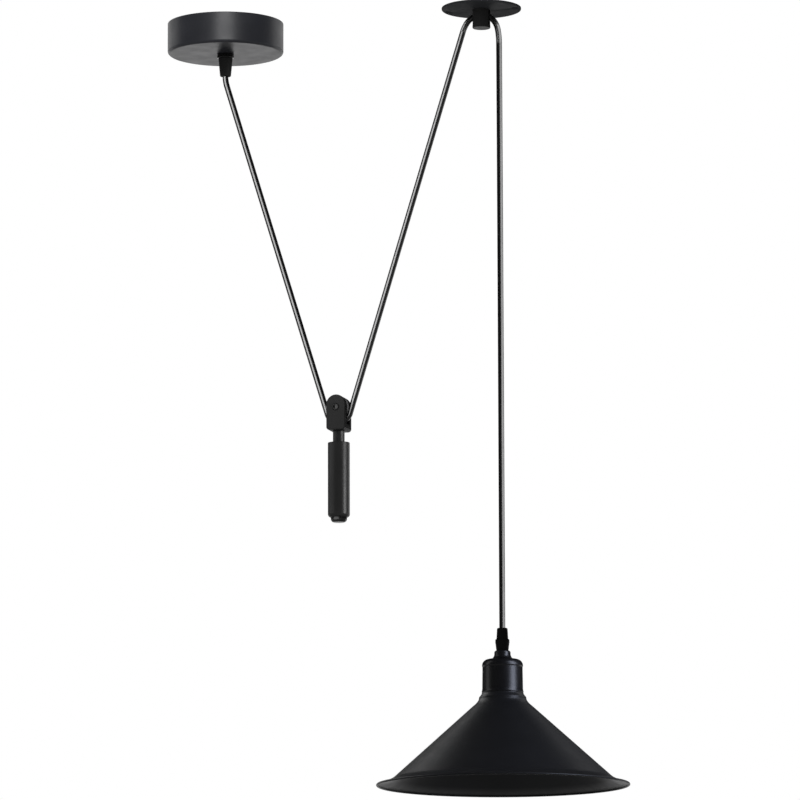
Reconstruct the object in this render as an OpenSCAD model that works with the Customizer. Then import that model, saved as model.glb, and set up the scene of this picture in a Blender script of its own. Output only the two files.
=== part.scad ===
// Rise and fall pendant.
// One flex runs from the ceiling canopy, under the pulley of a counterweight, over a ceiling
// guide and down to a conical lamp. The origin is the centre of the canopy on the ceiling,
// +X points to the guide, +Z is up, and the whole flex lies in the plane Y = 0.

/* [Layout] */
// Distance between the axes of the canopy and the guide
guide_x = 274; // [240:1:340]
// Distance of the pulley axle from the canopy axis
axle_x = 121.6; // [100:0.1:150]
// Depth of the pulley axle under the ceiling
axle_depth = 409; // [300:0.5:600]
// Distance of the plumb flex from the guide axis
drop_x = 18.5; // [15:0.5:25]
// Depth of the shade's rim under the ceiling
rim_depth = 800; // [600:5:1400]

/* [Flex] */
// Diameter of the flex
flex_d = 6; // [5:0.1:7]
// Gap between the flex and a groove that it runs in
groove_gap = 0.3; // [0.3:0.1:0.5]
// Gap between the flex and a bore that it passes
flex_gap = 0.1; // [0.05:0.05:0.2]
// Diameter of an insulated core
core_d = 2.2; // [1.8:0.1:2.4]

/* [Canopy] */
// Diameter of the canopy cup
canopy_d = 120; // [100:1:160]
// Height of the canopy cup
canopy_h = 32; // [28:0.5:45]
// Sheet thickness of the canopy cup
canopy_t = 1.2; // [0.8:0.1:2]
// Radius of the lower edge of the canopy cup
canopy_edge_r = 3; // [2:0.5:6]

/* [Ceiling bracket] */
// Length of the bracket
bracket_l = 100; // [92:1:104]
// Width of the bracket
bracket_w = 22; // [18:1:26]
// Sheet thickness of the bracket
bracket_t = 1.5; // [1:0.1:2]
// Depth of the bracket's cranked middle under the ceiling
bracket_drop = 12; // [10:0.5:14]
// Length of the cranked middle
bracket_mid_l = 40; // [36:1:42]
// Run of the slope between the middle and each arm
bracket_slope = 3; // [2:0.5:4]
// Distance between the centres of the two ceiling screw slots
slot_pitch = 70; // [68:1:76]
// Length of a ceiling screw slot, end to end
slot_l = 14; // [10:1:16]
// Width of a ceiling screw slot
slot_w = 4.6; // [4:0.1:5]
// Width of the tab that carries the terminal block
tab_w = 34; // [32:1:40]
// Reach of the tab from the bracket's centre line
tab_reach = 34; // [32:1:38]

/* [Terminal block] */
// Length, depth and height of the block's body
block_size = [31, 16, 10.5];
// Distance of the block's near face from the bracket's centre line
block_y = 16.5; // [15:0.5:17]
// Distance between two poles
pole_pitch = 10; // [9:0.5:10]
// Outer radius of a brass clamp
clamp_r = 2.6; // [2.2:0.1:2.8]
// Height of the clamps' axes over the foot of the block
clamp_z = 5; // [4:0.5:6]
// Radius of a clamp screw
clamp_screw_r = 1.4; // [1:0.1:1.6]

/* [Cord grip] */
// Diameter of the threaded nipples
nipple_d = 10; // [9:0.1:10.4]
// Depth of the canopy nipple in the grip's sleeve
nipple_in_sleeve = 1.1; // [0.8:0.1:4]
// Rise of the canopy nipple over the bracket's middle
nipple_rise = 4; // [3.5:0.5:6]
// Diameter of the grip's collar
collar_d = 17.4; // [15:0.1:20]
// Height of the grip's collar
collar_h = 4.4; // [2:0.1:5]
// Diameter of the grip's sleeve at the collar
sleeve_top_d = 14.8; // [13:0.1:15]
// Diameter of the grip's sleeve at its end
sleeve_end_d = 11.2; // [10:0.1:12]
// Length of the grip's sleeve
sleeve_l = 19.1; // [18:0.1:30]
// Radius of the rounded end of the sleeve
sleeve_edge_r = 1; // [0.5:0.1:1.5]

/* [Ceiling guide] */
// Diameter of the guide plate
plate_d = 81.5; // [78:0.5:100]
// Thickness of the guide plate
plate_t = 2; // [1.8:0.1:3]
// Distance between the two ceiling screw holes of the plate
plate_hole_pitch = 71; // [64:0.5:72]
// Diameter of a ceiling screw hole of the plate
plate_hole_d = 4.5; // [4:0.1:5]
// Diameter of a ceiling screw hole's countersink
plate_sink_d = 8; // [7:0.1:8.4]
// Diameter of the guide post
post_d = 18.4; // [17.6:0.1:22]
// Length of the guide post
post_l = 19.2; // [18.5:0.1:24]
// Width of the slot through the post
post_slot_w = 7.6; // [7.4:0.1:8]
// Depth of the slot from the top of the post
post_slot_h = 16.3; // [16.2:0.1:16.6]
// Distance of the post screws from the guide axis
post_screw_y = 6.5; // [6.2:0.1:6.8]
// Length of the post screws
post_screw_l = 9; // [7:0.5:9]

/* [Guide roller] */
// Depth of the roller's axis under the ceiling
roller_depth = 13; // [12.8:0.1:13]
// Radius of the roller at the bottom of its groove
roller_groove_r = 3.2; // [2.8:0.1:3.2]
// Radius of the roller's flanges
roller_flange_r = 4.8; // [4.4:0.1:5]
// Width of the roller
roller_w = 7; // [6.9:0.1:7.2]
// Diameter of the roller pin
roller_pin_d = 3; // [2:0.1:3]
// Depth of the pin's blind end in the front wall of the post
pin_blind = 2.5; // [2:0.5:3]

/* [Pulley block] */
// Width of the clevis across the pulley's plane
clevis_w = 20; // [18:0.5:24]
// Thickness of the clevis along the axle
clevis_t = 24.5; // [23:0.5:28]
// Height of the clevis over the axle
clevis_over = 12.7; // [12.5:0.1:16]
// Depth of the clevis under the axle
clevis_under = 23.5; // [23.3:0.1:30]
// Width of the clevis slot
clevis_slot_w = 12; // [12:0.1:13]
// Depth of the clevis slot under the axle
clevis_slot_under = 17.2; // [17:0.1:17.5]
// Radius of the lower corners of the clevis
clevis_corner_r = 3; // [1:0.5:5]
// Depth of the bevel round the outer faces of the clevis
clevis_bevel = 0.6; // [0.4:0.1:1]
// Radius of the pulley wheel at the bottom of its groove
wheel_groove_r = 9.7; // [8:0.1:9.7]
// Radius of the pulley wheel's flanges
wheel_flange_r = 12.3; // [11:0.1:12.4]
// Width of the pulley wheel
wheel_w = 11; // [9:0.1:11]
// Thickness of the wheel's web
wheel_web_t = 4; // [3:0.5:5]
// Radius of the wheel's hub
wheel_hub_r = 5; // [4.6:0.1:5.4]
// Outer radius of the bush that the wheel turns on
bush_r = 3.4; // [3:0.1:3.6]
// Radial gap between a wheel or roller and what it turns on
running_gap = 0.05; // [0.03:0.01:0.08]
// Thickness of the washers beside the wheel
washer_t = 0.4; // [0.3:0.1:0.4]

/* [Axle screw] */
// Diameter of the axle screw
axle_d = 4; // [3:0.1:4.2]
// Diameter of the axle screw's head
axle_head_d = 7; // [6:0.1:8]
// Height of the axle screw's head
axle_head_h = 2.2; // [1.6:0.1:2.6]
// Depth of the counterbore under the head
head_recess = 1; // [0.5:0.1:1.5]
// Width across the flats of the axle nut
axle_nut_af = 7; // [6:0.5:8]
// Thickness of the axle nut
axle_nut_t = 3.2; // [2.4:0.1:3.4]

/* [Counterweight] */
// Diameter of the stem over the weight
stem_d = 12; // [10:0.5:14]
// Length of the stem
stem_l = 12; // [8:0.1:30]
// Diameter of the weight
weight_d = 22.4; // [18:0.1:40]
// Length of the weight
weight_l = 77; // [60:0.1:140]
// Radius of the weight's lower edge
weight_edge_r = 3.3; // [1:0.1:4]
// Diameter of the end cap
cap_d = 16.5; // [12:0.1:17]
// Height of the end cap
cap_h = 5; // [4:0.1:8]
// Radius of the end cap's lower edge
cap_edge_r = 3.4; // [1:0.1:3.8]
// Diameter of the threaded rod through stem and weight
rod_d = 6; // [5:0.1:7]
// Depth of the rod's thread in the clevis
rod_in_clevis = 5.5; // [4:0.1:6]
// Depth of the rod's thread in the end cap
rod_in_cap = 3.6; // [2:0.1:3.8]

/* [Shade] */
// Diameter of the shade's rim
shade_d = 255; // [240:1:360]
// Height of the shade
shade_h = 94; // [90:0.5:130]
// Sheet thickness of the shade
shade_t = 0.8; // [0.6:0.1:1.2]
// Radius of the rolled bead on the rim
rim_bead_r = 1.1; // [0.9:0.1:1.6]
// Height of the rim over which the lip turns out
lip_h = 9; // [7:0.1:14]
// Width of the turned lip
lip_w = 18.2; // [12:0.1:20]
// Diameter of the cone where it meets the flared neck
crease_d = 60; // [56:0.5:66]
// Height of the flared neck
neck_h = 12.8; // [11.5:0.1:14]
// Diameter of the neck under the lampholder cup
neck_d = 42.2; // [41.6:0.1:43]
// Diameter of the hole in the shade's top
shade_hole_d = 36.2; // [36:0.1:36.6]

/* [Lampholder cup] */
// Diameter of the cup at its shoulder
cup_d = 41.3; // [40.6:0.1:42]
// Diameter of the cup under the shoulder
cup_waist_d = 40.5; // [39.6:0.1:40.8]
// Height of the cup from its foot to the flat of its shoulder
cup_h = 33.7; // [33.4:0.1:38]
// Radius of the cup's shoulder
shoulder_r = 6.5; // [4:0.1:7]
// Height of the cup's neck over the shoulder
cup_neck_h = 8.8; // [8:0.1:12]
// Diameter of the cup's neck
cup_neck_d = 16.4; // [16:0.1:18]
// Sheet thickness of the cup
cup_t = 0.8; // [0.6:0.1:1]

/* [Gland] */
// Diameter of the gland body at its foot
gland_foot_d = 12.2; // [12:0.1:13]
// Diameter of the gland body's collar
gland_collar_d = 14.3; // [13:0.1:16]
// Height of the gland body
gland_body_h = 11.4; // [11:0.1:14]
// Diameter of the gland cap at its foot
gland_cap_d = 11.9; // [11:0.1:12.4]
// Diameter of the gland cap at its top
gland_top_d = 10.6; // [9.6:0.1:11]
// Height of the gland cap
gland_cap_h = 11.5; // [11:0.1:15]
// Outer radius of the gland body's threaded throat
throat_r = 4.5; // [4.4:0.05:4.6]
// Outer radius of the rubber bush
seal_r = 3.8; // [3.6:0.05:3.8]

/* [Lampholder] */
// Radius of the lampholder's skirt
skirt_r = 17.9; // [17.6:0.1:18]
// Length of the skirt under the shade's top
skirt_l = 16; // [14:0.5:18]
// Radius of the skirt's shoulder on the shade
skirt_shoulder_r = 19.2; // [18.8:0.1:19.2]
// Height of the skirt's shoulder
skirt_shoulder_h = 3.2; // [2.5:0.1:4]
// Height of the skirt's rim inside the holder cap
skirt_rim_h = 4; // [3:0.1:5]
// Inner radius of the threaded shell
shell_r = 13.3; // [13.2:0.05:13.4]
// Sheet thickness of the threaded shell
shell_t = 0.5; // [0.4:0.1:0.8]
// Setback of the threaded shell from the mouth of the skirt
shell_set = 1; // [0.5:0.1:2]
// Thickness of the insert that carries the contacts
insert_t = 5; // [4.4:0.1:6]
// Depth of the recess in the insert that holds the centre contact
insert_recess = 3; // [2:0.1:3.4]
// Outer radius of the holder cap
holder_cap_r = 18.7; // [18.5:0.1:19]
// Wall of the holder cap
holder_cap_t = 1.4; // [1.2:0.1:1.4]
// Height of the holder cap's straight wall
holder_cap_wall_h = 16; // [14:0.1:18]
// Height of the holder cap
holder_cap_h = 27; // [26:0.1:28]
// Outer radius of the shade ring's flange
ring_flange_r = 22; // [21:0.1:22.5]
// Height of the shade ring
ring_h = 9; // [8:0.1:11]
// Length of the lamp's nipple
lamp_nipple_l = 23; // [22:0.5:24]
// Depth of the lamp's nipple in the gland body
nipple_in_gland = 4.5; // [3:0.1:5]

/* [Hidden] */
$fn = 64;

satin_black = [0.11, 0.11, 0.12];
deep_black = [0.04, 0.04, 0.045];
plastic_black = [0.07, 0.07, 0.07];
zinc = [0.7, 0.7, 0.72];
brass = [0.8, 0.65, 0.35];
white_nylon = [0.9, 0.9, 0.87];

eps = 0.01;          // overrun of a cut past a face
fit_gap = 0.02;      // radial gap of two pieces that screw or press together
pass_gap = 0.25;     // radial gap of a thread in a plain hole
nut_af = 14;         // width across the flats of the nipple nuts
nut_t = 3;           // thickness of the nipple nuts
thin_nut_t = 2.4;    // thickness of the nut inside the holder cap

flex_r = flex_d / 2;
core_r = core_d / 2;
groove_cut_r = flex_r + groove_gap;
flex_bore_r = flex_r + flex_gap;
nipple_r = nipple_d / 2;
nipple_bore_r = flex_r + 3 * flex_gap;

// Heights of the canopy's inner pieces
bracket_low = -bracket_drop - bracket_t;
nipple_top = -bracket_drop + nipple_rise;
grip_top = -canopy_h;
sleeve_top = grip_top - collar_h;
nipple_foot = sleeve_top - nipple_in_sleeve;
grip_end = sleeve_top - sleeve_l;
flex_end_top = nipple_top + 1;
block_foot = -bracket_drop;
poles = [-pole_pitch, 0, pole_pitch];
clamp_screw_ys = [block_y + 4, block_y + block_size[1] - 4];
clamp_inset = 2;
block_screw_x = 5;
block_screw_y = block_y + block_size[1] / 2;
block_screw_r = 1.3;
block_screw_head_r = 2.1;
block_screw_sink = 3;
earth_x = 14;
earth_y = -4;
earth_r = 2;

// Cores: where each leaves the flex, seen from above, and its colour
core_spots = [[-1.2, -0.7], [0, 1.4], [1.2, -0.7]];
core_colours = ["saddlebrown", "forestgreen", "steelblue"];

// Guide
plate_low = -plate_t;
post_low = plate_low - post_l;
post_slot_low = plate_low - post_slot_h;
post_screw_r = 1.5;
post_screw_head_r = 2.9;
post_screw_head_h = 1.4;
roller_pitch_r = roller_groove_r + groove_cut_r;
pin_r = roller_pin_d / 2;

// Pulley block
axle_z = -axle_depth;
wheel_pitch_r = wheel_groove_r + groove_cut_r;
axle_r = axle_d / 2;
clevis_low = axle_z - clevis_under;
clevis_face = clevis_t / 2;
stem_low = clevis_low - stem_l;
weight_low = stem_low - weight_l;
cap_low = weight_low - cap_h;

// Lamp: heights over the plane of the rim
lamp_x = guide_x + drop_x;
cup_foot = shade_h;
shoulder_top = cup_foot + cup_h;
cup_top = shoulder_top + cup_neck_h;
gland_split = cup_top + gland_body_h;
gland_top = gland_split + gland_cap_h;
throat_top = gland_split + 6;
seal_foot = cup_top + 5.2;
lamp_nipple_top = cup_top + nipple_in_gland;
lamp_nipple_foot = lamp_nipple_top - lamp_nipple_l;
skirt_mouth = shade_h - skirt_l;
skirt_seat = shade_h + skirt_shoulder_h;
insert_foot = skirt_seat + skirt_rim_h;
insert_top = insert_foot + insert_t;
holder_cap_top = skirt_seat + holder_cap_h;
ring_top = shade_h - shade_t;
ring_foot = ring_top - ring_h;
terminal_x = 8;
terminal_size = [5, 8, 7];
sheath_foot = lamp_nipple_foot - 1;
holder_roof_t = 2;
earth_tag_t = 0.8;
earth_tag_foot = holder_cap_top - holder_roof_t - earth_tag_t;
earth_tab_y = nut_af / 2 + 0.2;
earth_tab_foot = lamp_nipple_foot - 2;

// Route of the flex: [x, z] of its centre line, in order from the canopy to the lamp
left_leg = [[0, -55.5], [0, -57.8], [0.5, -61.3], [1.6, -66], [109.16, -412.87]];
pulley_wrap = [
    [109.16, -412.87], [110.4, -416.5], [113.4, -419.8], [117.4, -421.7], [121.6, -422.1],
    [125.8, -421.7], [129.8, -419.8], [132.8, -416.5], [134.04, -412.83]
];
right_leg = [[134.04, -412.83], [254.3, -24]];
guide_bend = [
    [254.3, -24], [256.6, -18.4], [260, -13.3], [264.7, -9.5], [269.2, -7.3], [274, -6.5],
    [278.8, -7.4], [283.3, -10.3], [287.6, -14.8], [290.3, -20], [291.8, -27], [292.5, -38]
];
lamp_drop = [[292.5, -38], [292.5, -640.6]];
ring_step = 19;      // longest run of flex between two rings of its tube
flex_sides = 10;

// ---------- outlines ----------

// Points of an arc about c from angle a0 to a1
function arc(c, r, a0, a1, n = 8) =
    [for (i = [0:n]) c + r * [cos(a0 + (a1 - a0) * i / n), sin(a0 + (a1 - a0) * i / n)]];

// Points of a curve that leaves a towards b and reaches c from b
function curve(a, b, c, n = 8) =
    [for (i = [0:n]) let (t = i / n) (1 - t) * (1 - t) * a + 2 * t * (1 - t) * b + t * t * c];

function left_of(d) = [-d[1], d[0]] / norm(d);

// Mitred normal of a path at its point i, on its left side
function mitre(p, i) = let (
    n0 = left_of(p[max(i, 1)] - p[max(i, 1) - 1]),
    n1 = left_of(p[min(i, len(p) - 2) + 1] - p[min(i, len(p) - 2)])
) 2 * (n0 + n1) / ((n0 + n1) * (n0 + n1));

// Outline of a sheet that lies on the left side of a path
function sheet(p, t) = concat(p, [for (i = [len(p) - 1:-1:0]) p[i] + t * mitre(p, i)]);

// ---------- swept tubes ----------

// A path with no run longer than step
function divided(p, step) = concat(
    [for (i = [0:len(p) - 2], k = [0:ceil(norm(p[i + 1] - p[i]) / step) - 1])
        p[i] + (p[i + 1] - p[i]) * k / ceil(norm(p[i + 1] - p[i]) / step)],
    [p[len(p) - 1]]
);

function unit(v) = v / norm(v);

// Direction half way between the two runs that meet at p[i]
function heading(p, i) = unit(unit(p[i] - p[i - 1]) + unit(p[i + 1] - p[i]));

// A closed tube of radius r from the second to the last but one of the 3-D points p. The outer two
// points only turn its end faces, so that the next tube's face fits. Its rings turn about side.
module tube(p, r, sides, side) {
    rings = len(p) - 2;
    last = (rings - 1) * sides;
    ring_points = [for (i = [1:rings]) let (
        t = heading(p, i),
        u = unit(cross(side, t)),
        v = cross(t, u)
    ) for (k = [0:sides - 1]) p[i] + r * (cos(360 * k / sides) * u + sin(360 * k / sides) * v)];
    walls = [for (i = [0:rings - 2], k = [0:sides - 1]) let (
        a = i * sides + k,
        b = i * sides + (k + 1) % sides
    ) each [[a, a + sides, b], [b, a + sides, b + sides]]];
    caps = [for (k = [1:sides - 2]) each [[0, k, k + 1], [last, last + k + 1, last + k]]];
    polyhedron(ring_points, concat(walls, caps));
}

// One stretch of the flex along route, between the point before it and the point after it
module flex(before, route, after) {
    points = concat([before], divided(route, ring_step), [after]);
    color(deep_black) tube([for (q = points) [q[0], 0, q[1]]], flex_r, flex_sides, [0, 1, 0]);
}

// An insulated core along p, with square ends
module core(p) {
    first = 2 * p[0] - p[1];
    last = 2 * p[len(p) - 1] - p[len(p) - 2];
    tube(concat([first], p, [last]), core_r - fit_gap, 8, [1, 0, 0]);
}

// ---------- common pieces ----------

module ring(r_out, r_in, h) {
    difference() {
        cylinder(r = r_out, h = h);
        translate([0, 0, -1]) cylinder(r = r_in, h = h + 2);
    }
}

module hex_nut(af, h, bore_r) {
    difference() {
        cylinder(d = af / cos(30), h = h, $fn = 6);
        translate([0, 0, -1]) cylinder(r = bore_r, h = h + 2);
    }
}

// A cross slot of a screw, cut downwards from the plane z = 0
module cross_recess(reach, depth) {
    slot_w = reach / 2.6;
    for (a = [0, 90])
        rotate([0, 0, a]) translate([-reach / 2, -slot_w / 2, -depth]) cube([reach, slot_w, depth + 1]);
}

// A pan head screw that hangs from the plane z = 0, with its head over that plane
module pan_screw(head_d, head_h, r, l) {
    edge = head_h / 2;
    difference() {
        union() {
            rotate_extrude() polygon(concat(
                [[0, 0], [head_d / 2, 0]],
                arc([head_d / 2 - edge, head_h - edge], edge, 0, 90, 4),
                [[0, head_h]]
            ));
            translate([0, 0, -l]) cylinder(r = r, h = l + eps);
        }
        translate([0, 0, head_h]) cross_recess(head_d * 0.62, head_h * 0.6);
    }
}

// A countersunk screw whose flat head lies in the plane z = 0
module sunk_screw(head_r, head_h, r, l) {
    difference() {
        union() {
            translate([0, 0, -head_h]) cylinder(r1 = r, r2 = head_r, h = head_h);
            translate([0, 0, -l]) cylinder(r = r, h = l - head_h + eps);
        }
        cross_recess(head_r * 1.2, head_h * 0.8);
    }
}

module slot_outline(l, w) {
    square([l - w, w], center = true);
    for (x = [-1, 1]) translate([x * (l - w) / 2, 0]) circle(d = w);
}

module at_guide() { translate([guide_x, 0, 0]) children(); }
module at_axle() { translate([axle_x, 0, axle_z]) children(); }
module at_weight() { translate([axle_x, 0, 0]) children(); }
module at_lamp() { translate([lamp_x, 0, -rim_depth]) children(); }

// Turns a piece drawn along +Z so that it lies along +Y
module along_y() { rotate([-90, 0, 0]) children(); }

// ---------- canopy ----------

module canopy_cup() {
    outside = concat(
        [[nipple_r + pass_gap, -canopy_h]],
        arc([canopy_d / 2 - canopy_edge_r, canopy_edge_r - canopy_h], canopy_edge_r, -90, 0),
        [[canopy_d / 2, 0]]
    );
    color(satin_black) rotate_extrude($fn = 128) polygon(sheet(outside, canopy_t));
}

module ceiling_bracket() {
    arm = bracket_l / 2;
    foot = bracket_mid_l / 2;
    top = [
        [-arm, 0], [-foot - bracket_slope, 0], [-foot, -bracket_drop],
        [foot, -bracket_drop], [foot + bracket_slope, 0], [arm, 0]
    ];
    color(zinc) difference() {
        union() {
            rotate([90, 0, 0]) linear_extrude(bracket_w, center = true) polygon(sheet(top, -bracket_t));
            translate([-tab_w / 2, 0, bracket_low]) cube([tab_w, tab_reach, bracket_t]);
        }
        for (x = [-1, 1]) translate([x * slot_pitch / 2, 0, -2 * bracket_t])
            linear_extrude(3 * bracket_t) slot_outline(slot_l, slot_w);
        translate([0, 0, bracket_low - 1]) cylinder(r = nipple_r + fit_gap, h = bracket_t + 2);
        translate([block_screw_x, block_screw_y, bracket_low - 1])
            cylinder(r = block_screw_r + fit_gap, h = bracket_t + 2);
        translate([earth_x, earth_y, bracket_low - 1]) cylinder(r = earth_r + fit_gap, h = bracket_t + 2);
    }
}

module canopy_nipple() {
    color(zinc) translate([0, 0, nipple_foot]) ring(nipple_r, nipple_bore_r, nipple_top - nipple_foot);
}

module canopy_nuts() {
    color(zinc) for (z = [-bracket_drop, bracket_low - nut_t])
        translate([0, 0, z]) hex_nut(nut_af, nut_t, nipple_r + fit_gap);
}

module grip_collar() {
    edge = 0.8;
    color(deep_black) rotate_extrude() polygon(concat(
        [[nipple_r + fit_gap, grip_top]],
        [[nipple_r + fit_gap, sleeve_top]],
        arc([collar_d / 2 - edge, sleeve_top + edge], edge, -90, 0, 4),
        [[collar_d / 2, grip_top]]
    ));
}

module grip_sleeve() {
    edge = sleeve_edge_r;
    color(plastic_black) difference() {
        rotate_extrude() polygon(concat(
            [[0, sleeve_top], [0, grip_end]],
            arc([sleeve_end_d / 2 - edge, grip_end + edge], edge, -90, 0, 4),
            [[sleeve_top_d / 2, sleeve_top]]
        ));
        translate([0, 0, grip_end - 1]) cylinder(r = flex_bore_r, h = sleeve_l + 2);
        translate([0, 0, nipple_foot]) cylinder(r = nipple_r + fit_gap, h = 2 * nipple_in_sleeve);
    }
}

module terminal_block() {
    color(white_nylon) difference() {
        translate([-block_size[0] / 2, block_y, block_foot]) cube(block_size);
        for (x = poles) translate([x, block_y - 1, block_foot + clamp_z])
            along_y() cylinder(r = clamp_r + fit_gap, h = block_size[1] + 2);
        for (x = poles, y = clamp_screw_ys) translate([x, y, block_foot + clamp_z])
            cylinder(r = clamp_screw_r + 0.5, h = block_size[2]);
        translate([block_screw_x, block_screw_y, block_foot - 1])
            cylinder(r = block_screw_r + fit_gap, h = block_size[2] + 2);
        translate([block_screw_x, block_screw_y, block_foot + block_size[2] - block_screw_sink])
            cylinder(r = block_screw_head_r + fit_gap, h = block_size[2]);
    }
}

module terminal_clamps() {
    color(brass) for (x = poles) translate([x, 0, 0]) difference() {
        translate([0, block_y + clamp_inset, block_foot + clamp_z])
            along_y() cylinder(r = clamp_r, h = block_size[1] - 2 * clamp_inset);
        translate([0, block_y, block_foot + clamp_z])
            along_y() cylinder(r = core_r + fit_gap, h = block_size[1]);
        for (y = clamp_screw_ys) translate([0, y, block_foot + clamp_z])
            cylinder(r = clamp_screw_r + fit_gap, h = block_size[2]);
    }
}

module clamp_screws() {
    color(zinc) for (x = poles, y = clamp_screw_ys) translate([x, y, block_foot + clamp_z + core_r])
        difference() {
            cylinder(r = clamp_screw_r, h = 3.2);
            translate([-clamp_screw_r, -0.25, 2.6]) cube([2 * clamp_screw_r, 0.5, 1]);
        }
}

module block_screw() {
    color(zinc) translate([block_screw_x, block_screw_y, block_foot + block_size[2] - block_screw_sink])
        pan_screw(2 * block_screw_head_r, 1.6, block_screw_r, block_size[2] - block_screw_sink + 2.5);
}

module earth_screw() {
    color(brass) translate([earth_x, earth_y, -bracket_drop]) pan_screw(7, 2.4, earth_r, 6);
}

module canopy_cores() {
    z = flex_end_top;
    clamp = block_foot + clamp_z;
    for (i = [0:2]) color(core_colours[i]) core([
        [core_spots[i][0], core_spots[i][1], z], [core_spots[i][0], core_spots[i][1], z + 0.6],
        [core_spots[i][0] * 1.4, core_spots[i][1] + 0.4, z + 1.5],
        [(i - 1) * 3.6, core_spots[i][1] + 2.8, z + 2.8], [(i - 1) * 6.5, 8, z + 2.4],
        [poles[i], 13, clamp + 0.6], [poles[i], block_y - 0.5, clamp], [poles[i], block_y + 7, clamp]
    ]);
}

module flex_canopy_end() {
    color(deep_black) translate([0, 0, grip_end]) cylinder(r = flex_r, h = flex_end_top - grip_end);
}

// ---------- ceiling guide ----------

module guide_plate() {
    edge = 0.5;
    color(satin_black) at_guide() difference() {
        rotate_extrude($fn = 128) polygon([
            [0, 0], [0, plate_low], [plate_d / 2 - edge, plate_low], [plate_d / 2, plate_low + edge],
            [plate_d / 2, 0]
        ]);
        for (x = [-1, 1]) translate([x * plate_hole_pitch / 2, 0, 0]) {
            translate([0, 0, plate_low - 1]) cylinder(d = plate_hole_d, h = plate_t + 2);
            translate([0, 0, plate_low - eps])
                cylinder(d1 = plate_sink_d, d2 = plate_hole_d, h = (plate_sink_d - plate_hole_d) / 3);
        }
        for (y = [-1, 1]) translate([0, y * post_screw_y, 0]) {
            translate([0, 0, plate_low - 1]) cylinder(r = post_screw_r + fit_gap, h = plate_t + 2);
            translate([0, 0, -post_screw_head_h])
                cylinder(r1 = post_screw_r + fit_gap, r2 = post_screw_head_r + fit_gap, h = post_screw_head_h);
        }
    }
}

module guide_post() {
    edge = 0.5;
    color(satin_black) at_guide() difference() {
        rotate_extrude() polygon([
            [0, plate_low], [0, post_low], [post_d / 2 - edge, post_low], [post_d / 2, post_low + edge],
            [post_d / 2, plate_low]
        ]);
        translate([-post_d, -post_slot_w / 2, post_slot_low]) cube([2 * post_d, post_slot_w, post_slot_h + 1]);
        translate([0, -post_slot_w / 2 - pin_blind, -roller_depth])
            along_y() cylinder(r = pin_r + fit_gap, h = post_d);
        for (y = [-1, 1]) translate([0, y * post_screw_y, -post_screw_l])
            cylinder(r = post_screw_r + fit_gap, h = post_screw_l);
    }
}

module post_screws() {
    color(zinc) at_guide() for (y = [-1, 1]) translate([0, y * post_screw_y, 0])
        sunk_screw(post_screw_head_r, post_screw_head_h, post_screw_r, post_screw_l);
}

// Outline of a grooved wheel on the axis x = 0, whose groove takes the flex
module wheel_outline(flange_r, bore_r, pitch_r, w) {
    difference() {
        translate([bore_r, -w / 2]) square([flange_r - bore_r, w]);
        translate([pitch_r, 0]) circle(r = groove_cut_r);
    }
}

module guide_roller() {
    color(brass) at_guide() translate([0, 0, -roller_depth]) along_y()
        rotate_extrude() wheel_outline(roller_flange_r, pin_r + running_gap, roller_pitch_r, roller_w);
}

module roller_pin() {
    pin_start = -post_slot_w / 2 - pin_blind;
    color(zinc) at_guide() translate([0, pin_start, -roller_depth])
        along_y() cylinder(r = pin_r, h = post_d / 2 - 0.4 - pin_start);
}

// ---------- pulley block ----------

// Outline of the clevis across the axle, drawn in by inset
module clevis_outline(inset) {
    r = clevis_w / 2 - inset;
    corner = clevis_corner_r;
    translate([0, clevis_over - clevis_w / 2]) circle(r = r);
    translate([-r, -clevis_under + inset + corner])
        square([2 * r, clevis_under - inset - corner + clevis_over - clevis_w / 2]);
    translate([-r + corner, -clevis_under + inset]) square([2 * (r - corner), 2 * corner]);
    for (x = [-1, 1]) translate([x * (r - corner), -clevis_under + inset + corner]) circle(r = corner);
}

module clevis() {
    flat_t = clevis_t - 2 * clevis_bevel;
    color(satin_black) at_axle() difference() {
        union() {
            rotate([90, 0, 0]) linear_extrude(flat_t, center = true) clevis_outline(0);
            rotate([90, 0, 0]) linear_extrude(clevis_t, center = true) clevis_outline(clevis_bevel);
        }
        translate([-clevis_w, -clevis_slot_w / 2, -clevis_slot_under])
            cube([2 * clevis_w, clevis_slot_w, clevis_slot_under + clevis_over + 1]);
        translate([0, -clevis_t, 0]) along_y() cylinder(r = axle_r + fit_gap, h = 2 * clevis_t);
        translate([0, -clevis_face - 1, 0])
            along_y() cylinder(d = axle_head_d + 0.4, h = head_recess + 1);
        translate([0, clevis_face - axle_nut_t, 0])
            along_y() cylinder(d = (axle_nut_af + 0.1) / cos(30), h = axle_nut_t + 1, $fn = 6);
        translate([0, 0, -clevis_under - 1]) cylinder(r = rod_d / 2 + fit_gap, h = rod_in_clevis + 1);
    }
}

module pulley_wheel() {
    recess = (wheel_w - wheel_web_t) / 2;
    rim_in_r = wheel_groove_r - 1.8;
    color([0.16, 0.16, 0.17]) at_axle() along_y() rotate_extrude($fn = 96) difference() {
        wheel_outline(wheel_flange_r, bush_r + running_gap, wheel_pitch_r, wheel_w);
        for (y = [-wheel_w / 2 - eps, wheel_w / 2 - recess + eps])
            translate([wheel_hub_r, y]) square([rim_in_r - wheel_hub_r, recess]);
    }
}

module pulley_bush() {
    color(brass) at_axle() translate([0, -clevis_slot_w / 2, 0])
        along_y() ring(bush_r, axle_r + running_gap, clevis_slot_w);
}

module pulley_washers() {
    for (y = [-clevis_slot_w / 2, clevis_slot_w / 2 - washer_t])
        color(white_nylon) at_axle() translate([0, y, 0])
            along_y() ring(wheel_hub_r + 0.6, bush_r + fit_gap, washer_t);
}

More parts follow.
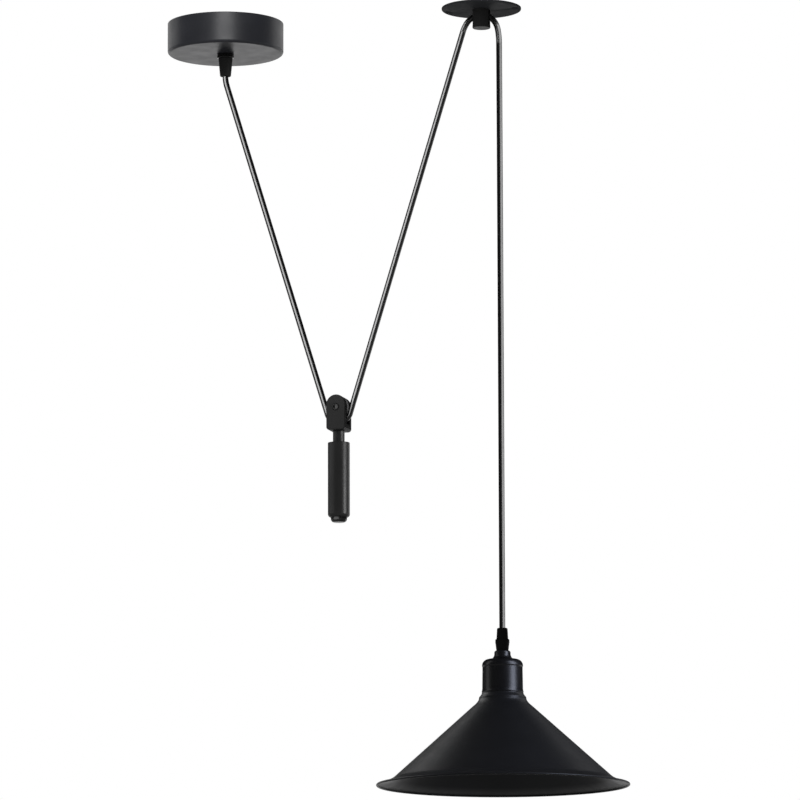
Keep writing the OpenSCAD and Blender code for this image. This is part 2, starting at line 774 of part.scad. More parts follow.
module axle_screw() {
    color(satin_black) at_axle() translate([0, -clevis_face + head_recess, 0]) rotate([90, 0, 0])
        pan_screw(axle_head_d, axle_head_h, axle_r, clevis_t - head_recess - 0.2);
}

module axle_nut() {
    color(zinc) at_axle() translate([0, clevis_face - axle_nut_t, 0])
        along_y() hex_nut(axle_nut_af, axle_nut_t, axle_r + fit_gap);
}

// ---------- counterweight ----------

module stem() {
    color(satin_black) at_weight() translate([0, 0, stem_low]) ring(stem_d / 2, rod_d / 2 + fit_gap, stem_l);
}

module weight() {
    edge = 0.5;
    r = weight_d / 2;
    color(satin_black) at_weight() rotate_extrude($fn = 96) polygon(concat(
        [[rod_d / 2 + fit_gap, stem_low], [rod_d / 2 + fit_gap, weight_low]],
        arc([r - weight_edge_r, weight_low + weight_edge_r], weight_edge_r, -90, 0, 6),
        [[r, stem_low - edge], [r - edge, stem_low]]
    ));
}

module weight_rod() {
    rod_top = clevis_low + rod_in_clevis;
    color(zinc) at_weight() translate([0, 0, weight_low - rod_in_cap])
        cylinder(d = rod_d, h = rod_top - weight_low + rod_in_cap);
}

module end_cap() {
    r = cap_d / 2;
    color(deep_black) at_weight() difference() {
        rotate_extrude() polygon(concat(
            [[0, weight_low], [0, cap_low]],
            arc([r - cap_edge_r, cap_low + cap_edge_r], cap_edge_r, -90, 0, 6),
            [[r, weight_low]]
        ));
        translate([0, 0, weight_low - rod_in_cap]) cylinder(r = rod_d / 2 + fit_gap, h = rod_in_cap + 1);
    }
}

// ---------- gland ----------

module gland_cap() {
    edge = 1.2;
    color(plastic_black) at_lamp() rotate_extrude() polygon(concat(
        [[throat_r + fit_gap, gland_split], [gland_cap_d / 2, gland_split]],
        arc([gland_top_d / 2 - edge, gland_top - edge], edge, 0, 90, 4),
        [[flex_bore_r, gland_top], [flex_bore_r, throat_top + 0.5], [throat_r + fit_gap, throat_top + 0.5]]
    ));
}

module gland_body() {
    r = gland_collar_d / 2;
    color(plastic_black) at_lamp() rotate_extrude() polygon([
        [nipple_r + fit_gap, cup_top], [gland_foot_d / 2, cup_top], [r - 0.25, gland_split - 4.6],
        [r, gland_split - 3.2], [r, gland_split - 0.8], [r - 0.3, gland_split],
        [throat_r, gland_split], [throat_r, throat_top], [seal_r + fit_gap, throat_top],
        [seal_r + fit_gap, seal_foot], [nipple_r + fit_gap, seal_foot]
    ]);
}

module gland_seal() {
    color([0.15, 0.15, 0.15]) at_lamp() translate([0, 0, seal_foot])
        ring(seal_r, flex_r + fit_gap, throat_top - seal_foot);
}

module lamp_nipple() {
    color(zinc) at_lamp() translate([0, 0, lamp_nipple_foot]) ring(nipple_r, nipple_bore_r, lamp_nipple_l);
}

module lamp_nuts() {
    color(zinc) at_lamp() {
        translate([0, 0, holder_cap_top]) hex_nut(nut_af, nut_t, nipple_r + fit_gap);
        translate([0, 0, earth_tag_foot - thin_nut_t]) hex_nut(nut_af, thin_nut_t, nipple_r + fit_gap);
    }
}

// ---------- lampholder ----------

module earth_tag() {
    color(brass) at_lamp() translate([0, 0, earth_tag_foot]) difference() {
        union() {
            cylinder(r = nut_af / 2, h = earth_tag_t);
            translate([-2, 0, 0]) cube([4, earth_tab_y + earth_tag_t, earth_tag_t]);
            translate([-2, earth_tab_y, earth_tab_foot - earth_tag_foot])
                cube([4, earth_tag_t, earth_tag_foot - earth_tab_foot + earth_tag_t]);
        }
        translate([0, 0, -1]) cylinder(r = nipple_r + fit_gap, h = earth_tag_t + 2);
    }
}

module socket_cup() {
    waist = cup_waist_d / 2;
    foot_bead = 0.5;
    neck = cup_neck_d / 2;
    groove_z = shoulder_top - 11;
    centre = [cup_d / 2 - shoulder_r, shoulder_top - shoulder_r];
    outside = concat(
        [[waist + foot_bead, cup_foot], [waist + foot_bead, cup_foot + 1], [waist + 0.3, cup_foot + 2.4]],
        [[waist, groove_z], [waist + 0.05, groove_z + 1]],
        arc(centre, shoulder_r, -12, 90, 10),
        curve([neck + 5, shoulder_top], [neck + 0.6, shoulder_top + 0.5], [neck, shoulder_top + 5], 6),
        arc([neck - 2, cup_top - 2], 2, 0, 90, 5),
        [[nipple_r + fit_gap, cup_top]]
    );
    color(deep_black) at_lamp() rotate_extrude($fn = 96) polygon(sheet(outside, cup_t));
}

module holder_cap() {
    r = holder_cap_r;
    inner = r - holder_cap_t;
    wall_top = skirt_seat + holder_cap_wall_h;
    color(plastic_black) at_lamp() rotate_extrude() polygon([
        [inner, skirt_seat], [r, skirt_seat], [r, wall_top], [nut_af / 2 + 2, holder_cap_top],
        [nipple_r + fit_gap, holder_cap_top], [nipple_r + fit_gap, holder_cap_top - holder_roof_t],
        [nut_af / 2 + 2.2, holder_cap_top - holder_roof_t], [inner, wall_top - 1]
    ]);
}

module holder_insert() {
    color([0.85, 0.83, 0.78]) at_lamp() translate([0, 0, insert_foot]) difference() {
        cylinder(r = holder_cap_r - holder_cap_t - 0.1, h = insert_t);
        translate([0, 0, -1]) cylinder(r = shell_r + shell_t, h = insert_recess + 1);
    }
}

module holder_terminals() {
    color(brass) at_lamp() for (x = [-1, 1]) difference() {
        translate([x * terminal_x - terminal_size[0] / 2, -terminal_size[1] / 2, insert_top])
            cube(terminal_size);
        translate([x * terminal_x, -terminal_size[1], insert_top + terminal_size[2] / 2])
            along_y() cylinder(r = core_r + fit_gap, h = 2 * terminal_size[1]);
        translate([x * terminal_x, 0, insert_top + terminal_size[2] / 2])
            cylinder(r = clamp_screw_r + fit_gap, h = terminal_size[2]);
    }
}

module terminal_screws() {
    color(zinc) at_lamp() for (x = [-1, 1])
        translate([x * terminal_x, 0, insert_top + terminal_size[2]])
            pan_screw(4.4, 1.6, clamp_screw_r, terminal_size[2] / 2 - core_r);
}

module centre_contact() {
    drop = insert_recess - 0.6;
    color(brass) at_lamp() translate([0, 0, insert_foot + insert_recess]) rotate_extrude() polygon(sheet(concat(
        [[7, 0]],
        curve([5.5, 0], [4, 0], [3, 0.6 - drop], 5),
        [[0, -drop]]
    ), 0.6));
}

module threaded_shell() {
    shell_foot = skirt_mouth + shell_set;
    color(brass) at_lamp() translate([0, 0, shell_foot])
        ring(shell_r + shell_t, shell_r, insert_foot - shell_foot);
}

module holder_skirt() {
    inner = shell_r + shell_t + fit_gap;
    rim = holder_cap_r - holder_cap_t - fit_gap;
    color(plastic_black) at_lamp() rotate_extrude() polygon([
        [inner, skirt_mouth], [skirt_r, skirt_mouth], [skirt_r, shade_h], [skirt_shoulder_r, shade_h],
        [skirt_shoulder_r, skirt_seat], [rim, skirt_seat], [rim, insert_foot], [inner, insert_foot]
    ]);
}

module shade_ring() {
    body = (shade_hole_d + neck_d) / 4;
    notch_r = 1.6;
    color(plastic_black) at_lamp() difference() {
        rotate_extrude() polygon([
            [skirt_r + fit_gap, ring_foot], [ring_flange_r, ring_foot], [ring_flange_r, ring_foot + 2.5],
            [body, ring_foot + 3.2], [body, ring_top], [skirt_r + fit_gap, ring_top]
        ]);
        for (a = [0:30:330]) rotate([0, 0, a]) translate([ring_flange_r + notch_r / 2, 0, ring_foot - 1])
            cylinder(r = notch_r, h = 3.6);
    }
}

// ---------- shade ----------

module shade() {
    bead = [shade_d / 2 - rim_bead_r, rim_bead_r];
    crease = [crease_d / 2, shade_h - neck_h - 1];
    lip = [shade_d / 2 - lip_w, lip_h];
    slope = unit(lip - crease);
    outside = concat(
        [bead + [0, rim_bead_r]],
        curve(bead + [-0.6, rim_bead_r], lip + 6 * slope, lip, 8),
        curve(crease, [neck_d / 2 + 1.3, shade_h - 9], [neck_d / 2, shade_h - 1], 8),
        [[neck_d / 2 - 0.8, shade_h], [shade_hole_d / 2, shade_h]]
    );
    color([0.1, 0.1, 0.11]) at_lamp() rotate_extrude($fn = 160) {
        polygon(sheet(outside, shade_t));
        translate(bead) circle(r = rim_bead_r);
    }
}

module lamp_cores() {
    z = sheath_foot;
    mid = insert_top + terminal_size[2] / 2;
    at_lamp() for (i = [0, 2]) color(core_colours[i]) core([
        [core_spots[i][0], core_spots[i][1], z], [core_spots[i][0], core_spots[i][1], z - 0.6],
        [core_spots[i][0] * 1.5, core_spots[i][1] - 0.8, z - 1.7],
        [(i - 1) * 5, -6, mid + 3.6], [(i - 1) * 7.6, -9, mid + 1.4],
        [(i - 1) * terminal_x, -7.5, mid], [(i - 1) * terminal_x, -1, mid]
    ]);
    tab_y = earth_tab_y + earth_tag_t / 2;
    at_lamp() color(core_colours[1]) core([
        [core_spots[1][0], core_spots[1][1], z], [core_spots[1][0], core_spots[1][1], z - 0.6],
        [0, core_spots[1][1] + 0.6, z - 2], [0, core_spots[1][1] + 2.2, z - 3], [0, tab_y - 2, z - 3],
        [0, tab_y - 0.5, earth_tab_foot - 1.4], [0, tab_y, earth_tab_foot - 0.6], [0, tab_y, earth_tab_foot]
    ]);
}

module flex_lamp_end() {
    color(deep_black) at_lamp() translate([0, 0, sheath_foot]) cylinder(r = flex_r, h = gland_top - sheath_foot);
}

// ---------- flex ----------

module flex_left_leg() { flex([0, grip_end + 2], left_leg, pulley_wrap[1]); }
module flex_pulley_wrap() { flex(left_leg[3], pulley_wrap, right_leg[1]); }
module flex_right_leg() { flex(pulley_wrap[7], right_leg, guide_bend[1]); }
module flex_guide_bend() { flex(right_leg[0], guide_bend, lamp_drop[1]); }
module flex_lamp_drop() { flex(guide_bend[10], lamp_drop, lamp_drop[1] - [0, 1]); }

canopy_cup();
ceiling_bracket();
canopy_nipple();
canopy_nuts();
grip_collar();
grip_sleeve();
terminal_block();
terminal_clamps();
clamp_screws();
block_screw();
earth_screw();
canopy_cores();
flex_canopy_end();
guide_plate();
guide_post();
post_screws();
guide_roller();
roller_pin();
clevis();
pulley_wheel();
pulley_bush();
pulley_washers();
axle_screw();
axle_nut();
stem();
weight();
weight_rod();
end_cap();
gland_cap();
gland_body();
gland_seal();
lamp_nipple();
lamp_nuts();
earth_tag();
socket_cup();
holder_cap();
holder_insert();
holder_terminals();
terminal_screws();
centre_contact();
threaded_shell();
holder_skirt();
shade_ring();
shade();
lamp_cores();
flex_lamp_end();
flex_left_leg();
flex_pulley_wrap();
flex_right_leg();
flex_guide_bend();
flex_lamp_drop();
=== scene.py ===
import math

import bmesh
import bpy
import numpy as np
from mathutils import Matrix, Vector


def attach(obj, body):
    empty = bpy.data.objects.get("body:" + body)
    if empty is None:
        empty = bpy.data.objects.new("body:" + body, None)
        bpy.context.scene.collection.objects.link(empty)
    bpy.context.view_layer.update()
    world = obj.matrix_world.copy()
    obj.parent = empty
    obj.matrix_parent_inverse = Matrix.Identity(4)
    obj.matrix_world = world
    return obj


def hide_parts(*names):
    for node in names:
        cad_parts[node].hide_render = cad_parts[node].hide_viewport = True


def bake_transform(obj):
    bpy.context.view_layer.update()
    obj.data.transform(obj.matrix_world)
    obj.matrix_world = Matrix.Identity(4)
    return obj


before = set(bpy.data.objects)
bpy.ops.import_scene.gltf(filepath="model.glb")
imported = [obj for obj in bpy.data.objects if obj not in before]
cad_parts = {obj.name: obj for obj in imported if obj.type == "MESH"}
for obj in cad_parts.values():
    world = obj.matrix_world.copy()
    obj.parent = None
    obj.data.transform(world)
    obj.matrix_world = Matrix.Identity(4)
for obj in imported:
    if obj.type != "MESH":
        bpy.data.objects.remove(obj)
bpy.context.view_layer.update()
mm = 0.001
print("frame loaded:", len(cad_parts), "nodes")


def addObject(name, data):
    made = bpy.data.objects.new(name, data)
    bpy.context.scene.collection.objects.link(made)
    return made


# the camera stands low in front of the lamp and looks up; roll turns it about its own line of sight
cameraValues = {
    "place": (1.71346, -5.63025, -1.3353), "turn": 15.175, "rise": 9.078, "roll": -0.16,
    "lens": 260.99, "sensor": 36, "sight": 60,
}


def makeCamera(v):
    data = bpy.data.cameras.new("photoCamera")
    data.lens = v["lens"]
    data.sensor_width = v["sensor"]
    data.clip_end = v["sight"]
    camera = addObject("photoCamera", data)
    camera.location = v["place"]
    turn = Matrix.Rotation(math.radians(v["turn"]), 3, "Z")
    rise = Matrix.Rotation(math.radians(90 + v["rise"]), 3, "X")
    roll = Matrix.Rotation(math.radians(v["roll"]), 3, "Z")
    camera.rotation_euler = (turn @ rise @ roll).to_euler()
    bpy.context.scene.camera = camera


makeCamera(cameraValues)
print("camera set")


# Turns a grid of points (rows, columns, 3), in metres, into a closed mesh. Columns run round and always
# close. Rows close too when loop is true; otherwise each end row is closed by a fan on its middle point.
# The sum of each triangle's signed volume tells whether the faces point outwards, and flips them if not.
def gridPiece(name, points, loop=False, sharp=38):
    rows, columns = points.shape[:2]
    index = np.arange(rows * columns).reshape(rows, columns)
    low, high = (index, np.roll(index, -1, axis=0)) if loop else (index[:-1], index[1:])
    quads = np.stack([low, np.roll(low, -1, axis=1), np.roll(high, -1, axis=1), high], axis=-1)
    quads = quads.reshape(-1, 4)
    along = np.linspace(0, 1, len(low) + 1)
    column = np.arange(columns) / columns
    nextColumn = column + 1 / columns
    u0, v0 = np.meshgrid(column, along[:-1])
    u1, v1 = np.meshgrid(nextColumn, along[1:])
    quadUv = np.stack([u0, v0, u1, v0, u1, v1, u0, v1], axis=-1).reshape(-1, 4, 2)
    vertices = points.reshape(-1, 3)
    fans, fanUv = np.zeros((0, 3), int), np.zeros((0, 3, 2))
    if not loop:
        first = len(vertices)
        middles = np.stack([points[0].mean(axis=0), points[-1].mean(axis=0)])
        vertices = np.concatenate([vertices, middles])
        startFan = np.stack([np.roll(index[0], -1), index[0], np.full(columns, first)], axis=-1)
        endFan = np.stack([index[-1], np.roll(index[-1], -1), np.full(columns, first + 1)], axis=-1)
        fans = np.concatenate([startFan, endFan])
        zero, one = 0 * column, 0 * column + 1
        startUv = np.stack([nextColumn, zero, column, zero, column, zero], axis=-1)
        endUv = np.stack([column, one, nextColumn, one, column, one], axis=-1)
        fanUv = np.concatenate([startUv, endUv]).reshape(-1, 3, 2)
    triangles = np.concatenate([quads[:, [0, 1, 2]], quads[:, [0, 2, 3]], fans])
    a, b, c = (vertices[triangles[:, k]] - vertices.mean(axis=0) for k in range(3))
    if (a * np.cross(b, c)).sum() < 0:
        quads, fans = quads[:, ::-1], fans[:, ::-1]
        quadUv, fanUv = quadUv[:, ::-1], fanUv[:, ::-1]
    mesh = bpy.data.meshes.new(name)
    mesh.from_pydata(vertices.tolist(), [], quads.tolist() + fans.tolist())
    layer = mesh.uv_layers.new(name="UVMap")
    layer.data.foreach_set("uv", np.concatenate([quadUv.ravel(), fanUv.ravel()]).astype(np.float32))
    mesh.polygons.foreach_set("use_smooth", np.ones(len(mesh.polygons), bool))
    mesh.set_sharp_from_angle(angle=math.radians(sharp))
    mesh.update()
    return addObject(name, mesh)


# Softens an outline of (r, z, radius) corners: each corner becomes an arc that touches both of its sides and
# starts and ends radius / tan(half the corner's angle) from it. A point beside each arc keeps the flats flat.
def softOutline(corners, loop=True, steps=6, hold=0.12):
    c = np.array(corners, float)
    p, radius = c[:, :2], c[:, 2].copy()
    before, after = np.roll(p, 1, axis=0) - p, np.roll(p, -1, axis=0) - p
    if not loop:
        radius[[0, -1]] = 0
    before /= np.linalg.norm(before, axis=1)[:, None]
    after /= np.linalg.norm(after, axis=1)[:, None]
    half = np.arccos(np.clip((before * after).sum(axis=1), -1, 1)) / 2
    straight = half > math.pi / 2 - 0.002
    radius[straight] = 0
    cut = radius / np.tan(np.where(straight, 1, half))
    bisector = before + after
    length = np.linalg.norm(bisector, axis=1)
    bisector /= np.where(length > 1e-6, length, 1)[:, None]
    centre = p + bisector * (radius / np.sin(half))[:, None]
    start, end = p + before * cut[:, None] - centre, p + after * cut[:, None] - centre
    sweep = math.pi - 2 * half
    t = np.linspace(0, 1, steps + 1)[None, :, None]
    angle = np.where(sweep < 1e-4, 1, sweep)[:, None, None]
    arc = (np.sin((1 - t) * angle) * start[:, None] + np.sin(t * angle) * end[:, None]) / np.sin(angle)
    soft = centre[:, None] + arc
    lead = (p + before * (cut + hold)[:, None])[:, None]
    trail = (p + after * (cut + hold)[:, None])[:, None]
    soft = np.concatenate([lead, soft, trail], axis=1)
    kept = np.ones(soft.shape[:2], bool)
    kept[radius <= 0] = False
    kept[radius <= 0, 1] = True
    soft[radius <= 0, 1] = p[radius <= 0]
    return soft[kept]


# A sheet of thickness t whose outer face is the given path: the inner face is each point moved along the
# mean of the two normals beside it, by t over the cosine of half the turn.
def sheetProfile(path, t):
    p = np.asarray(path, float)
    d = np.diff(p, axis=0)
    n = np.stack([-d[:, 1], d[:, 0]], axis=-1) / np.linalg.norm(d, axis=1)[:, None]
    m = np.concatenate([n[:1], n]) + np.concatenate([n, n[-1:]])
    m = 2 * m / (m * m).sum(axis=1)[:, None]
    return np.concatenate([p, (p + t * m)[::-1]])


# Points of an arc: the centre c plus r times (cos, sin) of each angle from a0 to a1 degrees.
def arcPoints(c, r, a0, a1, n):
    a = np.radians(np.linspace(a0, a1, n + 1))
    return np.stack([c[0] + r * np.cos(a), c[1] + r * np.sin(a)], axis=-1)


# Points of a quadratic curve from a to c that is pulled towards b.
def curvePoints(a, b, c, n):
    a, b, c = (np.array(k, float) for k in (a, b, c))
    t = np.linspace(0, 1, n + 1)[:, None]
    return (1 - t) ** 2 * a + 2 * t * (1 - t) * b + t * t * c


def roundTurns(columns):
    return np.linspace(0, 2 * math.pi, columns, endpoint=False)


# Radius r, turn a and height z become (r cos a, r sin a, z) from the centre, in metres. Lying along Y, the
# height runs along Y.
def roundPoints(r, a, z, centre, lieAlongY=False):
    x, y, z = np.broadcast_arrays(r * np.cos(a), r * np.sin(a), z)
    points = np.stack([x, z, -y] if lieAlongY else [x, y, z], axis=-1)
    return (points + np.array(centre)) * mm


# A turned surface: each profile station (r, z) makes a ring round the centre. A profile that starts or ends
# on the axis is closed there, and any other is a ring that closes on itself.
def turned(name, profile, centre=(0, 0, 0), columns=96, lieAlongY=False):
    profile = np.array(profile, float)
    loop = profile[0, 0] > 0 and profile[-1, 0] > 0
    r = np.maximum(profile[:, :1], 1e-5)  # a ring on the axis keeps a radius, so that its faces keep an area
    points = roundPoints(r, roundTurns(columns), profile[:, 1:], centre, lieAlongY)
    return gridPiece(name, points, loop)


# The points of a curve through knots, from one knot to another: between two knots it is a cubic whose end
# directions are those of the chord from the knot before to the knot after, so long runs stay straight. Runs
# over longRun take longStep.
def smoothRoute(knotList, first, last, step, longRun=math.inf, longStep=None):
    p = np.array(knotList, float)
    heading = np.gradient(p, axis=0)
    heading[1:-1] = p[2:] - p[:-2]
    heading /= np.linalg.norm(heading, axis=1)[:, None]
    parts = []
    for i in range(first, last):
        length = np.linalg.norm(p[i + 1] - p[i])
        pace = longStep if length > longRun else step
        t = np.linspace(0, 1, max(2, math.ceil(length / pace) + 1))[:, None]
        part = (
            (2 * t**3 - 3 * t**2 + 1) * p[i] + (t**3 - 2 * t**2 + t) * length * heading[i]
            + (3 * t**2 - 2 * t**3) * p[i + 1] + (t**3 - t**2) * length * heading[i + 1]
        )
        parts.append(part if i == last - 1 else part[:-1])
    return np.concatenate(parts)


# A tube along a path: each ring lies at p + r (n cos a + m sin a), where n and m stand square to the path.
# The first n is as near as can be to the given side, and each next one is the last, made square to the path.
def tube(name, path, radius, side=(0, 1, 0), columns=24, headings=None):
    t = np.gradient(path, axis=0)
    if headings is not None:
        t[0], t[-1] = headings
    t /= np.linalg.norm(t, axis=1)[:, None]
    n = np.empty_like(t)
    last = np.array(side, float)
    for i, way in enumerate(t):
        last = last - (last @ way) * way
        last = n[i] = last / np.linalg.norm(last)
    m = np.cross(t, n)
    a = roundTurns(columns)[None, :, None]
    rings = path[:, None] + radius * (n[:, None] * np.cos(a) + m[:, None] * np.sin(a))
    return gridPiece(name, rings * mm)


# A hexagon nut: the radius at turn a is half the flats' width over the cosine of the turn from the nearest
# flat, cut down by a cone at each face.
def hexNut(name, centre, flats, height, bore, lieAlongY=False):
    a = roundTurns(96)
    fromFlat = (a + math.pi / 6) % (math.pi / 3) - math.pi / 6
    hexagon = flats / 2 / np.cos(fromFlat)
    rise = 0.07 * flats * np.array([0, 0.16, 0.32, 0.6, 1])
    z = np.concatenate([rise, height - rise[::-1]])[:, None]
    cone = flats / 2 * 0.96 + np.minimum(z, height - z) * math.tan(math.radians(62))
    outside = np.minimum(hexagon, cone)
    mouth = 0.4
    insideZ = np.array([height, height - mouth, mouth, 0])[:, None]
    inside = np.array([bore + mouth, bore, bore, bore + mouth])[:, None] + 0 * a
    r, z = np.concatenate([outside, inside]), np.concatenate([z, insideZ])
    return gridPiece(name, roundPoints(r, a, z, centre, lieAlongY), loop=True, sharp=25)


# A threaded wall: at turn a and height z its radius is r + depth cos(2 pi z / pitch - a), with the wave
# dying out over the last half turn at each end. The inner wall is plain at innerR, or with a sheet given, the
# same wave one sheet further in.
def threadedWall(name, centre, r, depth, pitch, height, innerR=None, sheet=None, columns=48, perTurn=8):
    a = roundTurns(columns)
    z = np.linspace(0, height, int(height / pitch * perTurn))[:, None]
    fade = np.clip(np.minimum(z, height - z) / (0.5 * pitch), 0, 1)
    wave = depth * np.cos(2 * math.pi * z / pitch - a) * fade
    inner = (r - sheet + wave)[::-1] if sheet else np.full((2, columns), innerR)
    innerZ = z[::-1] if sheet else np.array([[height], [0.0]])
    radius = np.concatenate([r + wave, inner])
    points = roundPoints(radius, a, np.concatenate([z, innerZ]), centre)
    return gridPiece(name, points, loop=True, sharp=50)


# A copy of a node's solid: its loose triangles are joined, its flats made whole, and its edges get a bevel.
def softCopy(name, node, bevel, segments):
    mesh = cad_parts[node].data.copy()
    mesh.name = name
    work = bmesh.new()
    work.from_mesh(mesh)
    bmesh.ops.remove_doubles(work, verts=work.verts, dist=0.000004)
    bmesh.ops.dissolve_limit(work, angle_limit=math.radians(0.6), verts=work.verts, edges=work.edges)
    work.to_mesh(mesh)
    work.free()
    mesh.polygons.foreach_set("use_smooth", np.ones(len(mesh.polygons), bool))
    mesh.set_sharp_from_angle(angle=math.radians(30))
    piece = addObject(name, mesh)
    cut = piece.modifiers.new("softEdges", "BEVEL")
    cut.width = bevel * mm
    cut.segments = segments
    cut.limit_method = "ANGLE"
    cut.angle_limit = math.radians(40)
    return piece


# adds a node to a tree and sets its sockets; an underscore stands for a space in a socket's name
def addNode(tree, kind, **sockets):
    node = tree.nodes.new("ShaderNode" + kind)
    for name, value in sockets.items():
        node.inputs[name.replace("_", " ")].default_value = value
    return node


# a material whose nodes are added one at a time; its patterns are read from Object coordinates
class Finish:
    def __init__(self, name, **sockets):
        self.material = bpy.data.materials.new(name)
        self.material.use_nodes = True
        self.tree = self.material.node_tree
        self.link = self.tree.links.new
        self.shader = self.tree.nodes["Principled BSDF"]
        for socket, value in sockets.items():
            self.shader.inputs[socket.replace("_", " ")].default_value = value
        self.place = addNode(self.tree, "TexCoord")

    def noise(self, scale, detail=2, stretch=(1, 1, 1), rough=0.5):
        mapping = addNode(self.tree, "Mapping", Scale=stretch)
        noise = addNode(self.tree, "TexNoise", Scale=scale, Detail=detail, Roughness=rough)
        self.link(self.place.outputs["Object"], mapping.inputs["Vector"])
        self.link(mapping.outputs["Vector"], noise.inputs["Vector"])
        return noise.outputs["Fac"]

    def spread(self, source, low, high, start=0.35, end=0.65):
        spread = addNode(self.tree, "MapRange", From_Min=start, From_Max=end, To_Min=low, To_Max=high)
        self.link(source, spread.inputs["Value"])
        return spread.outputs["Result"]

    def colours(self, source, low, high, start=0.35, end=0.65):
        ramp = addNode(self.tree, "ValToRGB")
        stops = ramp.color_ramp.elements
        stops[0].position, stops[0].color = start, (*low, 1)
        stops[1].position, stops[1].color = end, (*high, 1)
        self.link(source, ramp.inputs["Fac"])
        self.link(ramp.outputs["Color"], self.shader.inputs["Base Color"])

    def roughness(self, source, low, high):
        self.link(self.spread(source, low, high), self.shader.inputs["Roughness"])

    def bumps(self, *layers):
        normal = None
        for source, height in layers:
            bump = addNode(self.tree, "Bump", Strength=1.0, Distance=height * mm)
            self.link(source, bump.inputs["Height"])
            if normal is not None:
                self.link(normal, bump.inputs["Normal"])
            normal = bump.outputs["Normal"]
        self.link(normal, self.shader.inputs["Normal"])


def toned(colour, share):
    return tuple(min(1, c * share) for c in colour)


# sprayed satin paint: a fine orange peel and a slow change of tone and gloss
def satinPaint(name, colour, rough, specular, peel=0.006):
    f = Finish(name, Specular_IOR_Level=specular)
    f.colours(f.noise(scale=14, detail=3), toned(colour, 0.86), toned(colour, 1.14))
    f.roughness(f.noise(scale=60, detail=4), rough - 0.03, rough + 0.03)
    f.bumps((f.noise(scale=900), peel), (f.noise(scale=4200, detail=1), peel * 0.35))
    return f.material


# moulded plastic with a spark-eroded grain
def grainedPlastic(name, colour, rough, specular, grain):
    f = Finish(name, Specular_IOR_Level=specular)
    f.colours(f.noise(scale=2600), toned(colour, 0.7), toned(colour, 1.35))
    f.roughness(f.noise(scale=40, detail=3), rough - 0.05, rough + 0.05)
    f.bumps((f.noise(scale=2600, detail=3, rough=0.7), grain), (f.noise(scale=180), grain * 0.4))
    return f.material


# glossy flexible sheath: long shallow ripples along the flex and a few fine scuffs
def sheathGloss(name, v):
    f = Finish(
        name, Specular_IOR_Level=v["specular"], Coat_Weight=v["coat"], Coat_Roughness=v["coatRough"])
    f.colours(f.noise(scale=30), v["dark"], v["light"])
    scuffs = f.noise(scale=500, detail=3, stretch=(1, 1, 0.12))
    f.roughness(scuffs, v["rough"] - 0.03, v["rough"] + 0.04)
    longRipple = f.noise(scale=260, stretch=(1, 1, 0.25))
    fineRipple = f.noise(scale=3000, stretch=(1, 1, 0.2))
    f.bumps((longRipple, v["ripple"]), (fineRipple, v["ripple"] * 0.1))
    return f.material


# zinc plate: bright, with a faint crystal mottle and drawing lines
def zincPlate(name):
    f = Finish(name, Metallic=1.0)
    f.colours(f.noise(scale=160, detail=4), (0.52, 0.53, 0.55), (0.72, 0.73, 0.75))
    f.roughness(f.noise(scale=90, detail=3, stretch=(1, 6, 1)), 0.24, 0.40)
    f.bumps((f.noise(scale=500, detail=3, stretch=(0.15, 1, 1)), 0.006), (f.noise(scale=2400), 0.002))
    return f.material


# turned brass: fine rings from the tool and a slow change of tone
def turnedBrass(name):
    f = Finish(name, Metallic=1.0)
    f.colours(f.noise(scale=120, detail=3), (0.62, 0.43, 0.18), (0.83, 0.63, 0.31))
    f.roughness(f.noise(scale=300, detail=3), 0.2, 0.34)
    f.bumps((f.noise(scale=1800, stretch=(1, 1, 5)), 0.003), (f.noise(scale=300), 0.003))
    return f.material


# pale nylon or porcelain: light sinks in a little, over a soft unevenness
def paleMoulding(name, low, high, rough):
    f = Finish(name, Specular_IOR_Level=0.5, Subsurface_Weight=0.15, Subsurface_Scale=0.002)
    f.colours(f.noise(scale=110, detail=3), low, high)
    f.roughness(f.noise(scale=400, detail=3), rough - 0.04, rough + 0.06)
    f.bumps((f.noise(scale=1500), 0.006), (f.noise(scale=120), 0.01))
    return f.material


# core insulation: one colour with a faint cloud, or two colours as stripes along the core, read from its UV
def coreColour(name, colour, stripe=None):
    f = Finish(name, Specular_IOR_Level=0.5)
    if stripe:
        split = addNode(f.tree, "SeparateXYZ")
        f.link(f.place.outputs["UV"], split.inputs["Vector"])
        f.colours(split.outputs["X"], colour, stripe, 0.49, 0.51)
    else:
        f.colours(f.noise(scale=700), toned(colour, 0.85), toned(colour, 1.1))
    f.roughness(f.noise(scale=900), 0.28, 0.38)
    f.bumps((f.noise(scale=900), 0.004), (f.noise(scale=3500, detail=1), 0.002))
    return f.material


sheathValues = {
    "dark": (0.0014, 0.0014, 0.0014), "light": (0.0026, 0.0026, 0.0026), "rough": 0.28, "specular": 0.9,
    "coat": 0.4, "coatRough": 0.22, "ripple": 0.0015,
}
paleValues = {
    "nylon": ((0.72, 0.72, 0.68), (0.84, 0.84, 0.81)),
    "porcelain": ((0.70, 0.68, 0.62), (0.82, 0.80, 0.74)),
}

